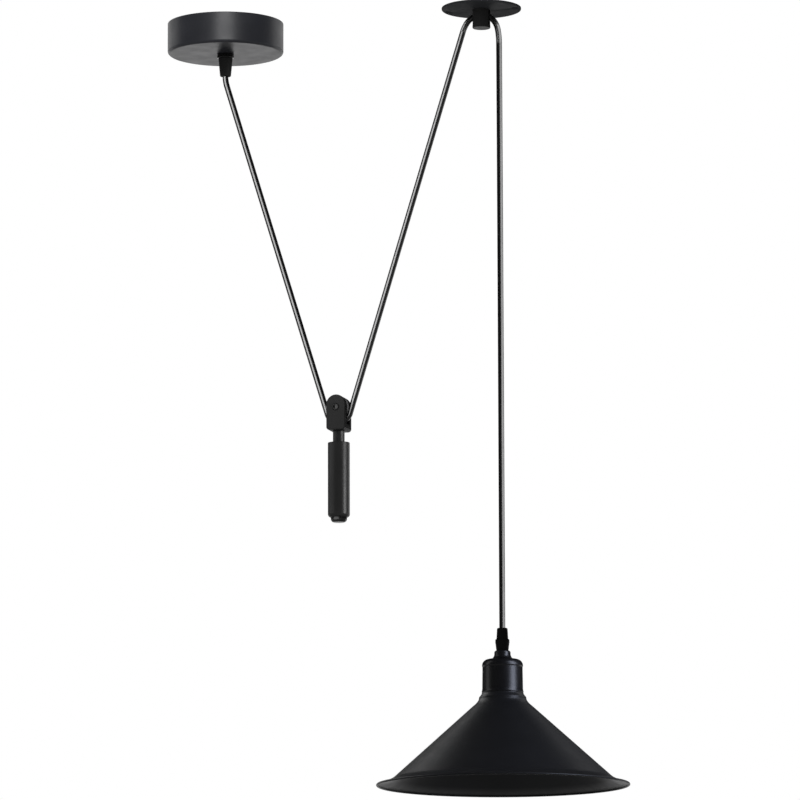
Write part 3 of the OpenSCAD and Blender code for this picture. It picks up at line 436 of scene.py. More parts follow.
# each finish is a slot of the record and its material; a paint gives colour, roughness and specular, and a
# plastic also the height of its grain in mm
finishes = {
    "canopy": ("canopy_paint", satinPaint("canopySatin", (0.018, 0.019, 0.024), 0.40, 0.50)),
    # guide and post share the paint guide_paint: the plate's copy is lighter than the post's, a lit copy of
    # one paint, painted light on the plate's underside
    "guide": ("guide_paint", satinPaint("guideSatin", (0.029, 0.030, 0.032), 0.60, 0.02)),
    "post": ("guide_paint", satinPaint("postSatin", (0.017, 0.017, 0.017), 0.45, 0.14)),
    "block": ("block_paint", satinPaint("blockSatin", (0.0095, 0.0095, 0.0095), 0.52, 0.30, peel=0.012)),
    "weight": ("weight_paint", satinPaint("weightSatin", (0.016, 0.016, 0.016), 0.38, 0.35)),
    "capEnd": ("gloss_black", satinPaint("capSatin", (0.008, 0.008, 0.008), 0.28, 0.5)),
    "cup": ("cup_paint", satinPaint("cupSatin", (0.0030, 0.0030, 0.0040), 0.34, 0.50, peel=0.003)),
    "shade": ("shade_paint", satinPaint("shadeSatin", (0.0058, 0.0061, 0.0072), 0.42, 0.26, peel=0.005)),
    "blackened": ("black_steel", satinPaint("blackenedSteel", (0.018, 0.018, 0.018), 0.36, 0.6)),
    "gripGloss": ("gloss_black", satinPaint("gripGloss", (0.004, 0.004, 0.004), 0.14, 0.5)),
    "grip": ("black_plastic", grainedPlastic("gripGrain", (0.012, 0.012, 0.012), 0.62, 0.25, 0.05)),
    "gland": ("black_plastic", grainedPlastic("glandGrain", (0.0032, 0.0032, 0.0034), 0.5, 0.14, 0.035)),
    "holder": ("holder_plastic", grainedPlastic("holderGrain", (0.012, 0.012, 0.012), 0.42, 0.4, 0.01)),
    "wheel": ("wheel_nylon", grainedPlastic("wheelNylon", (0.010, 0.010, 0.011), 0.40, 0.45, 0.008)),
    "rubber": ("black_rubber", grainedPlastic("bushRubber", (0.02, 0.02, 0.02), 0.75, 0.3, 0.02)),
    "zinc": ("zinc_steel", zincPlate("zincPlate")),
    "brass": ("plain_brass", turnedBrass("turnedBrass")),
    "nylon": ("white_nylon", paleMoulding("terminalNylon", *paleValues["nylon"], 0.38)),
    "porcelain": ("porcelain", paleMoulding("holderPorcelain", *paleValues["porcelain"], 0.2)),
    "sheath": ("flex_sheath", sheathGloss("flexSheath", sheathValues)),
    "brownCore": ("core_insulation", coreColour("brownCore", (0.16, 0.06, 0.025))),
    "blueCore": ("core_insulation", coreColour("blueCore", (0.02, 0.10, 0.42))),
    "earthCore": ("core_insulation", coreColour("earthCore", (0.03, 0.22, 0.05), (0.72, 0.60, 0.06))),
}
print("finishes made:", len(finishes))


# gives a piece its finish; it may stand for a node, and ride on a body
def dress(piece, finish, node=None, body=None):
    slot, material = finishes[finish]
    piece.data.materials.clear()
    piece.data.materials.append(material)
    if node:
        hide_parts(node)
    if body:
        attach(piece, body)


# a turned piece with softened corners, dressed
def spun(
        name, finish, node, body, corners, centre=(0, 0, 0), columns=96, loop=True, steps=6, lieAlongY=False):
    profile = softOutline(corners, loop, steps)
    dress(turned(name, profile, centre, columns, lieAlongY), finish, node, body)


# copies of nodes whose shapes are right: each row is node, piece, finish, bevel in mm and its segments
def copies(rows, body):
    for node, name, finish, bevel, segments in rows:
        dress(softCopy(name, node, bevel, segments), finish, node, body)


# the flex's route repeats the knots of the solid's, [x, z] in millimetres, from the canopy to the lamp
flexValues = {
    "radius": 3.0, "gap": 0.3, "bendStep": 1.6, "runStep": 6.0, "longRun": 30, "before": [0, -50],
    "after": [292.5, -645],
}
knots = {
    "left": [[0, -55.5], [0, -57.8], [0.5, -61.3], [1.6, -66], [109.16, -412.87]],
    "wrap": [
        [109.16, -412.87], [110.4, -416.5], [113.4, -419.8], [117.4, -421.7], [121.6, -422.1],
        [125.8, -421.7], [129.8, -419.8], [132.8, -416.5], [134.04, -412.83]],
    "right": [[134.04, -412.83], [254.3, -24]],
    "bend": [
        [254.3, -24], [256.6, -18.4], [260, -13.3], [264.7, -9.5], [269.2, -7.3], [274, -6.5],
        [278.8, -7.4], [283.3, -10.3], [287.6, -14.8], [290.3, -20], [291.8, -27], [292.5, -38]],
    "drop": [[292.5, -38], [292.5, -640.6]],
}
route, spans = [flexValues["before"], knots["left"][0]], {}
for stretch, points in knots.items():
    spans[stretch] = (len(route) - 1, len(route) + len(points) - 2)
    route += points[1:]
route = np.array([[x, 0, z] for x, z in route + [flexValues["after"]]], float)
flexGroove = flexValues["radius"] + flexValues["gap"]


def flexStretch(name, stretch, node):
    v = flexValues
    first, last = spans[stretch]
    headings = [route[i + 1] - route[i - 1] for i in (first, last)]
    path = smoothRoute(route, first, last, v["bendStep"], v["longRun"], v["runStep"])
    piece = tube(name, path, v["radius"], headings=headings)
    dress(piece, "sheath", node)
    length = np.linalg.norm(np.diff(path, axis=0), axis=1).sum() * mm
    return piece, path * mm, float(length)


leftLeg, leftPath, leftLength = flexStretch("flexLeftLeg", "left", "flex_left_leg")
wrap, wrapPath, wrapLength = flexStretch("flexWrap", "wrap", "flex_pulley_wrap")
rightLeg, rightPath, rightLength = flexStretch("flexRightLeg", "right", "flex_right_leg")
bend, bendPath, bendLength = flexStretch("flexBend", "bend", "flex_guide_bend")
drop, dropPath, dropLength = flexStretch("flexDrop", "drop", "flex_lamp_drop")

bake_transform(leftLeg)
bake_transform(rightLeg)
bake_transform(drop)
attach(wrap, "counterweight")
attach(bend, "ceiling")
print("flex made:", [round(x, 3) for x in (leftLength, wrapLength, rightLength, bendLength, dropLength)])


# what the canopy and the lamp share: threaded nipples with their nuts, the cord's cores, and its bore
nippleValues = {"r": 5.0, "fit": 0.02, "meanR": 4.8, "thread": 0.19, "pitch": 1.0, "bore": 3.3, "flats": 14.0}
coreValues = {"r": 1.06, "step": 0.6, "spots": [(-1.2, -0.7), (0, 1.4), (1.2, -0.7)]}
nippleHole = nippleValues["r"] + nippleValues["fit"]
flexBore = flexValues["radius"] + 0.1


def makeNipple(name, node, body, foot, length):
    v = nippleValues
    wall = threadedWall(name, foot, v["meanR"], v["thread"], v["pitch"], length, innerR=v["bore"])
    dress(wall, "zinc", node, body)


# nuts on a nipple: each row is name, foot and height, and the first stands for the node
def makeNuts(rows, node, body, centre=(0, 0, 0)):
    for i, (name, foot, height) in enumerate(rows):
        place = (centre[0], centre[1], centre[2] + foot)
        nut = hexNut(name, place, nippleValues["flats"], height, nippleHole)
        dress(nut, "zinc", None if i else node, body)


# one core along its knots; the first and the last knot only turn its ends
def makeCore(name, finish, node, body, knotList, centre=(0, 0, 0)):
    path = smoothRoute(knotList, 1, len(knotList) - 2, coreValues["step"]) + np.array(centre)
    dress(tube(name, path, coreValues["r"], side=(1, 0, 0), columns=16), finish, node, body)


canopyValues = {
    "r": 60.0, "height": 32.0, "sheet": 1.2, "edge": 3.0, "hole": 5.25, "collarR": 8.7, "collarH": 4.4,
    "sleeveTop": 7.4, "sleeveEnd": 5.6, "sleeveL": 19.1, "nippleIn": 1.1, "sheathTop": -7.0,
}


def makeCanopy(v):
    r, t, e, top = v["r"], v["sheet"], v["edge"], -v["height"]
    spun("canopyShell", "canopy", "canopy_cup", "ceiling", [
        (r, 0, 0.35), (r, top, e), (v["hole"], top, 0.3), (v["hole"], top + t, 0.3), (r - t, top + t, e - t),
        (r - t, 0, 0.35),
    ], columns=192, steps=8)
    foot = top - v["collarH"]
    spun("gripCollarPiece", "gripGloss", "grip_collar", "ceiling", [
        (nippleHole, top, 0), (v["collarR"], top, 0.35), (v["collarR"], foot, 0.9), (nippleHole, foot, 0),
    ])
    end, seat = foot - v["sleeveL"], foot - v["nippleIn"]
    spun("gripSleevePiece", "grip", "grip_sleeve", "ceiling", [
        (nippleHole, foot, 0), (v["sleeveTop"], foot, 0.3), (v["sleeveEnd"], end, 1.0), (flexBore, end, 0.3),
        (flexBore, seat, 0), (nippleHole, seat, 0),
    ])
    flexR, high = flexValues["radius"], v["sheathTop"]
    spun("sheathEndTop", "sheath", "flex_canopy_end", "ceiling", [
        (0, end, 0), (flexR, end, 0.05), (flexR, high, 0.3), (0, high, 0),
    ], columns=32, loop=False)


makeCanopy(canopyValues)

insideValues = {
    "nippleTop": -8.0, "nippleL": 29.5, "clampZ": -7.0, "poleStep": 10,
    "nuts": [("canopyNutUpper", -12, 3.0), ("canopyNutLower", -16.5, 3.0)],
    "copies": [
        ("ceiling_bracket", "bracketPiece", "zinc", 0.25, 2),
        ("terminal_block", "terminalBlockPiece", "nylon", 0.3, 2),
        ("terminal_clamps", "blockClamps", "brass", 0.08, 1),
        ("clamp_screws", "blockClampScrews", "zinc", 0.08, 1),
        ("block_screw", "blockScrewPiece", "zinc", 0.08, 1),
        ("earth_screw", "earthScrewPiece", "brass", 0.08, 1),
    ],
}


def makeCanopyInside(v):
    foot = v["nippleTop"] - v["nippleL"]
    makeNipple("canopyNipplePiece", "canopy_nipple", "ceiling", (0, 0, foot), v["nippleL"])
    makeNuts(v["nuts"], "canopy_nuts", "ceiling")
    copies(v["copies"], "ceiling")
    z, clamp = canopyValues["sheathTop"], v["clampZ"]
    for i, finish in enumerate(("brownCore", "earthCore", "blueCore")):
        sx, sy = coreValues["spots"][i]
        side = i - 1
        pole = side * v["poleStep"]
        makeCore("canopyCore%d" % i, finish, None if i else "canopy_cores", "ceiling", [
            (sx, sy, z - 1), (sx, sy, z), (sx, sy, z + 0.6), (sx * 1.4, sy + 0.4, z + 1.5),
            (side * 3.6, sy + 2.8, z + 2.8), (side * 6.5, 8, z + 2.4), (pole, 13, clamp + 0.6),
            (pole, 16, clamp), (pole, 23.5, clamp), (pole, 25, clamp),
        ])


makeCanopyInside(insideValues)
print("canopy made")


# The profile of a grooved wheel: a ring whose outer wall dips by an arc of the groove's radius about the
# pitch line. With a web, the wheel is thinner between hub and inner.
def grooveProfile(flange, bore, pitch, width, web=None, hub=None, inner=None):
    reach = math.acos((pitch - flange) / flexGroove)
    groove = arcPoints((pitch, 0), flexGroove, 180 + math.degrees(reach), 180 - math.degrees(reach), 24)
    half, soft, ease = width / 2, 0.35, 0.1
    lower = [(bore, -half), (flange - soft, -half), (flange - ease, -half + ease), (flange, -half + soft)]
    if web:
        lower[1:1] = [(hub, -half), (hub + 0.5, -web / 2), (inner - 0.5, -web / 2), (inner, -half)]
    lower = np.array(lower, float)
    return np.concatenate([lower, groove, lower[::-1] * (1, -1)])


guideValues = {
    "x": 274.0, "depth": 13.0, "groove": 3.2, "flange": 4.8, "width": 7.0, "bore": 1.55, "pinR": 1.5,
    "pinFrom": -6.3, "pinTo": 8.8,
    "copies": [
        ("guide_plate", "guidePlatePiece", "guide", 0.25, 3),
        ("guide_post", "guidePostPiece", "post", 0.3, 3),
        ("post_screws", "postScrewsPiece", "zinc", 0.08, 1),
    ],
}


def makeGuide(v):
    copies(v["copies"], "ceiling")
    centre = (v["x"], 0, -v["depth"])
    profile = grooveProfile(v["flange"], v["bore"], v["groove"] + flexGroove, v["width"])
    roller = turned("guideRollerPiece", profile, centre, 72, lieAlongY=True)
    dress(roller, "brass", "guide_roller", "guide_roller")
    r, start, end = v["pinR"], v["pinFrom"], v["pinTo"]
    spun("rollerPinPiece", "zinc", "roller_pin", "ceiling", [
        (0, start, 0), (r, start, 0.2), (r, end, 0.25), (0, end, 0),
    ], centre, 32, loop=False, lieAlongY=True)


makeGuide(guideValues)
print("guide made")


blockValues = {
    "x": 121.6, "z": -409.0, "groove": 9.7, "flange": 12.3, "wheelW": 11.0, "hub": 5.0, "web": 4.0,
    "rimT": 1.8, "play": 0.05, "bush": 3.4, "axleHole": 2.05, "bushHalf": 6.0, "washerHole": 3.42,
    "washerR": 5.6, "washerT": 0.4, "nutY": 9.05, "nutFlats": 7.0, "nutH": 3.2, "nutHole": 2.02,
    "copies": [
        ("clevis", "clevisPiece", "block", 0.35, 3),
        ("axle_screw", "axleScrewPiece", "blackened", 0.12, 2),
    ],
}


def makeBlock(v):
    centre = (v["x"], 0, v["z"])
    copies(v["copies"], "counterweight")
    profile = grooveProfile(
        v["flange"], v["bush"] + v["play"], v["groove"] + flexGroove, v["wheelW"], v["web"], v["hub"],
        v["groove"] - v["rimT"])
    wheel = turned("pulleyWheelPiece", profile, centre, 128, lieAlongY=True)
    dress(wheel, "wheel", "pulley_wheel", "pulley_wheel")
    half, hole, t = v["bushHalf"], v["axleHole"], v["washerT"]
    spun("pulleyBushPiece", "brass", "pulley_bush", "counterweight", [
        (hole, -half, 0.1), (v["bush"], -half, 0.1), (v["bush"], half, 0.1), (hole, half, 0.1),
    ], centre, 48, lieAlongY=True)
    for i, y in enumerate((-half, half - t)):
        spun("pulleyWasher%d" % i, "nylon", None if i else "pulley_washers", "counterweight", [
            (v["washerHole"], y, 0.05), (v["washerR"], y, 0.1), (v["washerR"], y + t, 0.1),
            (v["washerHole"], y + t, 0.05),
        ], centre, 48, lieAlongY=True)
    place = (v["x"], v["nutY"], v["z"])
    nut = hexNut("axleNutPiece", place, v["nutFlats"], v["nutH"], v["nutHole"], lieAlongY=True)
    dress(nut, "blackened", "axle_nut", "counterweight")


makeBlock(blockValues)

weightValues = {
    "top": -432.5, "stemR": 6.0, "stemL": 12.0, "r": 11.2, "l": 77.0, "edge": 3.3, "capR": 8.25,
    "capH": 5.0, "capEdge": 3.4, "rodR": 3.0, "rodHole": 3.02, "rodIn": 5.4, "rodInCap": 3.5, "rodGap": 0.1,
}


def makeWeight(v):
    centre = (blockValues["x"], 0, 0)
    hole, rod, top = v["rodHole"], v["rodR"], v["top"]
    low = top - v["stemL"]
    spun("stemPiece", "weight", "stem", "counterweight", [
        (hole, low, 0), (v["stemR"], low, 0.2), (v["stemR"], top, 0.2), (hole, top, 0),
    ], centre)
    end = low - v["l"]
    spun("weightPiece", "weight", "weight", "counterweight", [
        (hole, end, 0), (v["r"], end, v["edge"]), (v["r"], low, 0.5), (hole, low, 0),
    ], centre, 128, steps=10)
    foot, pocket = end - v["capH"], end - v["rodInCap"] - v["rodGap"]
    spun("endCapPiece", "capEnd", "end_cap", "counterweight", [
        (0, pocket, 0), (hole, pocket, 0), (hole, end, 0), (v["capR"], end, 0.15),
        (v["capR"], foot, v["capEdge"]), (0, foot, 0),
    ], centre, loop=False, steps=10)
    rodTop, rodEnd = top + v["rodIn"], end - v["rodInCap"]
    spun("weightRodPiece", "zinc", "weight_rod", "counterweight", [
        (0, rodTop, 0), (rod, rodTop, 0.3), (rod, rodEnd, 0.3), (0, rodEnd, 0),
    ], centre, 48, loop=False)


makeWeight(weightValues)
print("pulley block and counterweight made")


# the lamp's heights are counted from the shade's rim
lampCentre = (292.5, 0, -800.0)
glandValues = {
    "foot": 136.5, "split": 147.9, "top": 159.4, "capR": 5.95, "capTopR": 5.3, "footR": 6.1, "coneR": 6.9,
    "ringR": 7.15, "ringTopR": 6.85, "innerR": 4.5, "innerH": 6.0, "sealR": 3.8, "fit": 0.02, "nippleIn": 5.2,
    "capGap": 0.5, "sheathFoot": 117.0,
}


def makeGland(v):
    foot, split, top, fit, flexR = v["foot"], v["split"], v["top"], v["fit"], flexValues["radius"]
    seat, high = foot + v["nippleIn"], split + v["innerH"]
    spun("glandBodyPiece", "gland", "gland_body", "lamp", [
        (nippleHole, foot, 0), (v["footR"], foot, 0.15), (v["coneR"], split - 4.6, 0.5),
        (v["ringR"], split - 3.2, 0.4), (v["ringR"], split - 0.8, 0.4), (v["ringTopR"], split, 0.15),
        (v["innerR"], split, 0), (v["innerR"], high, 0.1), (v["sealR"] + fit, high, 0),
        (v["sealR"] + fit, seat, 0), (nippleHole, seat, 0),
    ], lampCentre)
    hollow, roof = v["innerR"] + fit, high + v["capGap"]
    spun("glandCapPiece", "gland", "gland_cap", "lamp", [
        (hollow, split, 0), (v["capR"], split, 0.2), (v["capTopR"], top, 1.2), (flexBore, top, 0.3),
        (flexBore, roof, 0), (hollow, roof, 0),
    ], lampCentre)
    spun("glandSealPiece", "rubber", "gland_seal", "lamp", [
        (flexR + fit, seat, 0), (v["sealR"], seat, 0), (v["sealR"], high, 0.1), (flexR + fit, high, 0.1),
    ], lampCentre, 32)
    low = v["sheathFoot"]
    spun("sheathEndLow", "sheath", "flex_lamp_end", "lamp", [
        (0, low, 0), (flexR, low, 0.3), (flexR, top, 0.05), (0, top, 0),
    ], lampCentre, 32, loop=False)


makeGland(glandValues)

cupValues = {
    "sheet": 0.8, "neckR": 8.2, "foot": 94.0, "shoulder": 127.7, "top": 136.5, "topEdge": 2.0,
    "shoulderR": 6.5, "r": 20.65, "waist": 20.25, "footBead": 0.85, "beadR": 2.5, "groove": -30,
}


# a spun cup: a bead at its foot, a wall that tapers to the waist, a groove under the bead of the shoulder,
# the shoulder's arc, and a domed neck that carries the gland
def makeCup(v):
    foot, sh, neck, waist, edge = v["foot"], v["shoulder"], v["neckR"], v["waist"], v["topEdge"]
    bead = waist + v["footBead"]
    centre = (v["r"] - v["shoulderR"], sh - v["shoulderR"])
    low = arcPoints((v["r"] - v["beadR"], centre[1]), v["beadR"], v["groove"], 0, 8)
    path = np.concatenate([
        [(bead - 0.4, foot)],
        curvePoints((bead - 0.15, foot + 0.1), (bead, foot + 0.3), (bead, foot + 0.9), 5),
        curvePoints((bead - 0.05, foot + 1.3), (waist + 0.3, foot + 2.2), (waist + 0.24, foot + 4.6), 8),
        [(waist + 0.2, foot + 9), (waist + 0.1, foot + 16), (waist, sh - 11.5)],
        curvePoints((waist, sh - 11.2), (waist, sh - 9.8), low[0] - (0.03, 0.06), 8),
        low[:-1],
        arcPoints(centre, v["shoulderR"], 0, 90, 20),
        curvePoints((neck + 5, sh), (neck + 0.6, sh + 0.5), (neck, sh + 5), 14),
        arcPoints((neck - edge, v["top"] - edge), edge, 0, 90, 8),
        [(nippleHole, v["top"])],
    ])
    cup = turned("cupPiece", sheetProfile(path, v["sheet"]), lampCentre, 128)
    dress(cup, "cup", "socket_cup", "lamp")


makeCup(cupValues)

shadeValues = {
    "rimR": 127.5, "height": 94.0, "sheet": 0.8, "bead": 1.1, "lipH": 9.0, "lipW": 18.2, "creaseR": 30.0,
    "neckH": 12.8, "neckR": 21.1, "ringR": 23.9, "ringDrop": 6.0, "hole": 18.1,
}


# a spun shade: a rolled bead at the rim, a lip that curves up to the crease, a straight cone, and a neck
# with a shallow ring
def makeShade(v):
    h, ring, neck = v["height"], v["ringR"], v["neckR"]
    ringZ = h - v["ringDrop"]
    bead = np.array([v["rimR"] - v["bead"], v["bead"]])
    crease = np.array([v["creaseR"], h - v["neckH"] - 1])
    lip = np.array([v["rimR"] - v["lipW"], v["lipH"]])
    slope = (lip - crease) / np.linalg.norm(lip - crease)
    cone = crease[None] + (lip - crease)[None] * np.linspace(1, 0, 14)[1:-1, None]
    outside = np.concatenate([
        curvePoints(bead + (-0.6, v["bead"]), lip + 6 * slope, lip, 24),
        cone,
        [crease + 0.8 * slope],
        curvePoints(crease + 0.25 * slope, (ring + 0.4, ringZ - 3.4), (ring, ringZ), 16),
        curvePoints((ring - 0.01, ringZ + 0.2), (ring - 0.1, ringZ + 1.6), (ring - 1.0, ringZ + 2.2), 8)[1:],
        curvePoints((ring - 1.1, ringZ + 2.3), (neck + 0.7, ringZ + 3.6), (neck, h - 1.2), 8),
        curvePoints((neck, h - 0.9), (neck, h), (neck - 0.9, h), 5),
        [(v["hole"], h)],
    ])
    # the rolled bead takes the place of the sheet's lower edge
    roll = arcPoints(bead, v["bead"], -200, 60, 20)
    profile = np.concatenate([roll, sheetProfile(outside, v["sheet"])[:-2]])
    shade = turned("shadePiece", profile, lampCentre, 256)
    dress(shade, "shade", "shade", "lamp")


makeShade(shadeValues)

holderValues = {
    "mouth": 78.0, "boreR": 13.82, "skirtR": 17.9, "flangeR": 19.2, "flangeZ": 94.0, "capZ": 97.2,
    "spigotR": 17.28, "insertZ": 101.2, "insertR": 17.2, "insertTop": 106.2, "recessR": 13.8,
    "recessZ": 104.2,
    "capR": 18.7, "capHollowR": 17.3, "capShoulder": 113.2, "capNeckR": 9.0, "capTop": 124.2, "capRoof": 2.0,
    "shellR": 13.39, "shellFoot": 79.0, "shellH": 22.2, "shellSheet": 0.4, "pitch": 3.62, "thread": 0.36,
    "nippleFoot": 118.0, "nippleL": 23.0, "terminalX": 8.0, "terminalZ": 109.7,
    "nuts": [("lampNutUpper", 124.2, 3.0), ("lampNutLower", 119.0, 2.4)],
    "copies": [
        ("shade_ring", "shadeRingPiece", "holder", 0.3, 2),
        ("holder_terminals", "holderTerminalsPiece", "brass", 0.06, 1),
        ("terminal_screws", "terminalScrewsPiece", "zinc", 0.06, 1),
        ("centre_contact", "centreContactPiece", "brass", 0.06, 1),
        ("earth_tag", "earthTagPiece", "brass", 0.06, 1),
    ],
}


def makeHolder(v):
    bore, hollow, insert, foot = v["boreR"], v["capHollowR"], v["insertZ"], v["capZ"]
    spun("holderSkirtPiece", "holder", "holder_skirt", "lamp", [
        (bore, v["mouth"], 0.5), (v["skirtR"], v["mouth"], 0.8), (v["skirtR"], v["flangeZ"], 0),
        (v["flangeR"], v["flangeZ"], 0.2), (v["flangeR"], foot, 0.3), (v["spigotR"], foot, 0),
        (v["spigotR"], insert, 0.3), (bore, insert, 0.3),
    ], lampCentre)
    x, y, rim = lampCentre
    shell = threadedWall(
        "threadedShellPiece", (x, y, rim + v["shellFoot"]), v["shellR"], v["thread"], v["pitch"],
        v["shellH"], sheet=v["shellSheet"], columns=96, perTurn=16)
    dress(shell, "brass", "threaded_shell", "lamp")
    spun("holderInsertPiece", "porcelain", "holder_insert", "lamp", [
        (0, v["recessZ"], 0), (v["recessR"], v["recessZ"], 0), (v["recessR"], insert, 0.2),
        (v["insertR"], insert, 0.3), (v["insertR"], v["insertTop"], 0.4), (0, v["insertTop"], 0),
    ], lampCentre, loop=False)
    top, roof = v["capTop"], v["capTop"] - v["capRoof"]
    spun("holderCapPiece", "holder", "holder_cap", "lamp", [
        (hollow, foot, 0.2), (v["capR"], foot, 0.3), (v["capR"], v["capShoulder"], 1.0),
        (v["capNeckR"], top, 1.0), (nippleHole, top, 0), (nippleHole, roof, 0),
        (v["capNeckR"] + 0.2, roof, 0.3), (hollow, v["capShoulder"] - 1, 0.6),
    ], lampCentre)
    makeNipple("lampNipplePiece", "lamp_nipple", "lamp", (x, y, rim + v["nippleFoot"]), v["nippleL"])
    makeNuts(v["nuts"], "lamp_nuts", "lamp", lampCentre)
    copies(v["copies"], "lamp")
    z, low = glandValues["sheathFoot"], v["terminalZ"]
    for i, finish in ((0, "brownCore"), (2, "blueCore")):
        sx, sy = coreValues["spots"][i]
        side = i - 1
        pole = side * v["terminalX"]
        makeCore("lampCore%d" % i, finish, None if i else "lamp_cores", "lamp", [
            (sx, sy, z + 1), (sx, sy, z), (sx, sy, z - 0.6), (sx * 1.5, sy - 0.8, z - 1.7),
            (side * 5, -6, low + 3.6), (side * 7.6, -9, low + 1.4), (pole, -7.5, low), (pole, -1, low),
            (pole, 0, low),
        ], lampCentre)
    sx, sy = coreValues["spots"][1]
    makeCore("lampCore1", "earthCore", None, "lamp", [
        (sx, sy, z + 1), (sx, sy, z), (sx, sy, z - 0.6), (0, 2, z - 2), (0, 3.6, z - 3), (0, 5.6, z - 3),
        (0, 7.1, z - 2.4), (0, 7.6, z - 1.6), (0, 7.6, z - 1), (0, 7.6, z),
    ], lampCentre)


makeHolder(holderValues)
print("lamp made")


# the floor is pale paper; gloss sees it darker below the object, painted shade in its reflections, and white
# from far metres behind it, where it glows for gloss alone as a painted reflection
stageValues = {
    "floor": -2.3, "floorSize": 60.0, "floorColour": (0.80, 0.80, 0.80), "mirrored": (0.30, 0.30, 0.30),
    "far": (3.0, 7.0), "farWhite": 1.0, "cloud": 0.98,
}


def makeFloor(v):
    size, z = v["floorSize"] / 2, v["floor"]
    mesh = bpy.data.meshes.new("floor")
    corners = [(-size, -size, z), (size, -size, z), (size, size, z), (-size, size, z)]
    mesh.from_pydata(corners, [], [(0, 1, 2, 3)])
    f = Finish("floorPaper", Specular_IOR_Level=0.1, Roughness=0.9, Emission_Color=(1, 1, 1, 1))
    glossy = addNode(f.tree, "LightPath").outputs["Is Glossy Ray"]

    def colourMix(factor):
        mix = addNode(f.tree, "Mix")
        mix.data_type = "RGBA"
        f.link(factor, mix.inputs[0])
        return mix.inputs[6], mix.inputs[7], mix.outputs[2]

    plain, cloudy, paper = colourMix(f.noise(scale=0.8))
    plain.default_value = (*toned(v["floorColour"], v["cloud"]), 1)
    cloudy.default_value = (*v["floorColour"], 1)
    # painted shade: glossy rays see the floor in the darker mirrored colour, not in the paper's own
    seen, mirrored, colour = colourMix(glossy)
    f.link(paper, seen)
    mirrored.default_value = (*v["mirrored"], 1)
    f.link(colour, f.shader.inputs["Base Color"])
    # painted reflection: for glossy rays alone the floor glows, rising to farWhite between the far distances
    # along Y
    split = addNode(f.tree, "SeparateXYZ")
    f.link(f.place.outputs["Object"], split.inputs["Vector"])
    given = addNode(f.tree, "Math")
    given.operation = "MULTIPLY"
    f.link(glossy, given.inputs[0])
    f.link(f.spread(split.outputs["Y"], 0.0, v["farWhite"], *v["far"]), given.inputs[1])
    f.link(given.outputs["Value"], f.shader.inputs["Emission Strength"])
    mesh.materials.append(f.material)
    addObject("floor", mesh)


makeFloor(stageValues)

# level directions from the object towards the camera and to the camera's right
towardsCamera, cameraRight = Vector((0.263, -0.965, 0)), Vector((0.965, 0.263, 0))

# the camera sees white; gloss sees the same white behind the object and a dim room elsewhere; matt surfaces
# see an even dome, a little brighter towards the front left
worldValues = {
    "room": 0.05, "behind": 1.0, "edge": (-0.995, -0.95), "domeTo": (-0.42, -0.86, 0.29),
    "dome": (0.42, 1.02),
}


def makeWorld(v):
    world = bpy.data.worlds.new("studio")
    bpy.context.scene.world = world
    world.use_nodes = True
    tree = world.node_tree
    tree.nodes.clear()
    link = tree.links.new
    place = addNode(tree, "TexCoord")

    # the cosine of the angle to a direction, spread from its low and high values to two strengths
    def ramp(way, low, high, toLow, toHigh):
        dot = addNode(tree, "VectorMath")
        dot.operation = "DOT_PRODUCT"
        dot.inputs[1].default_value = way
        link(place.outputs["Generated"], dot.inputs[0])
        spread = addNode(tree, "MapRange", From_Min=low, From_Max=high, To_Min=toLow, To_Max=toHigh)
        link(dot.outputs["Value"], spread.inputs["Value"])
        return spread.outputs["Result"]

    path = addNode(tree, "LightPath")
    seen = addNode(tree, "Mix")
    seen.data_type = "FLOAT"
    link(path.outputs["Is Diffuse Ray"], seen.inputs[0])
    link(ramp(towardsCamera, *v["edge"], v["behind"], v["room"]), seen.inputs[2])
    link(ramp(v["domeTo"], -1, 1, *v["dome"]), seen.inputs[3])
    light = addNode(tree, "Background")
    link(seen.outputs[0], light.inputs["Strength"])
    white = addNode(tree, "Background", Strength=1.0, Color=(1, 1, 1, 1))
    choose = addNode(tree, "MixShader")
    link(path.outputs["Is Camera Ray"], choose.inputs["Fac"])
    link(light.outputs["Background"], choose.inputs[1])
    link(white.outputs["Background"], choose.inputs[2])
    link(choose.outputs["Shader"], addNode(tree, "OutputWorld").inputs["Surface"])


makeWorld(worldValues)

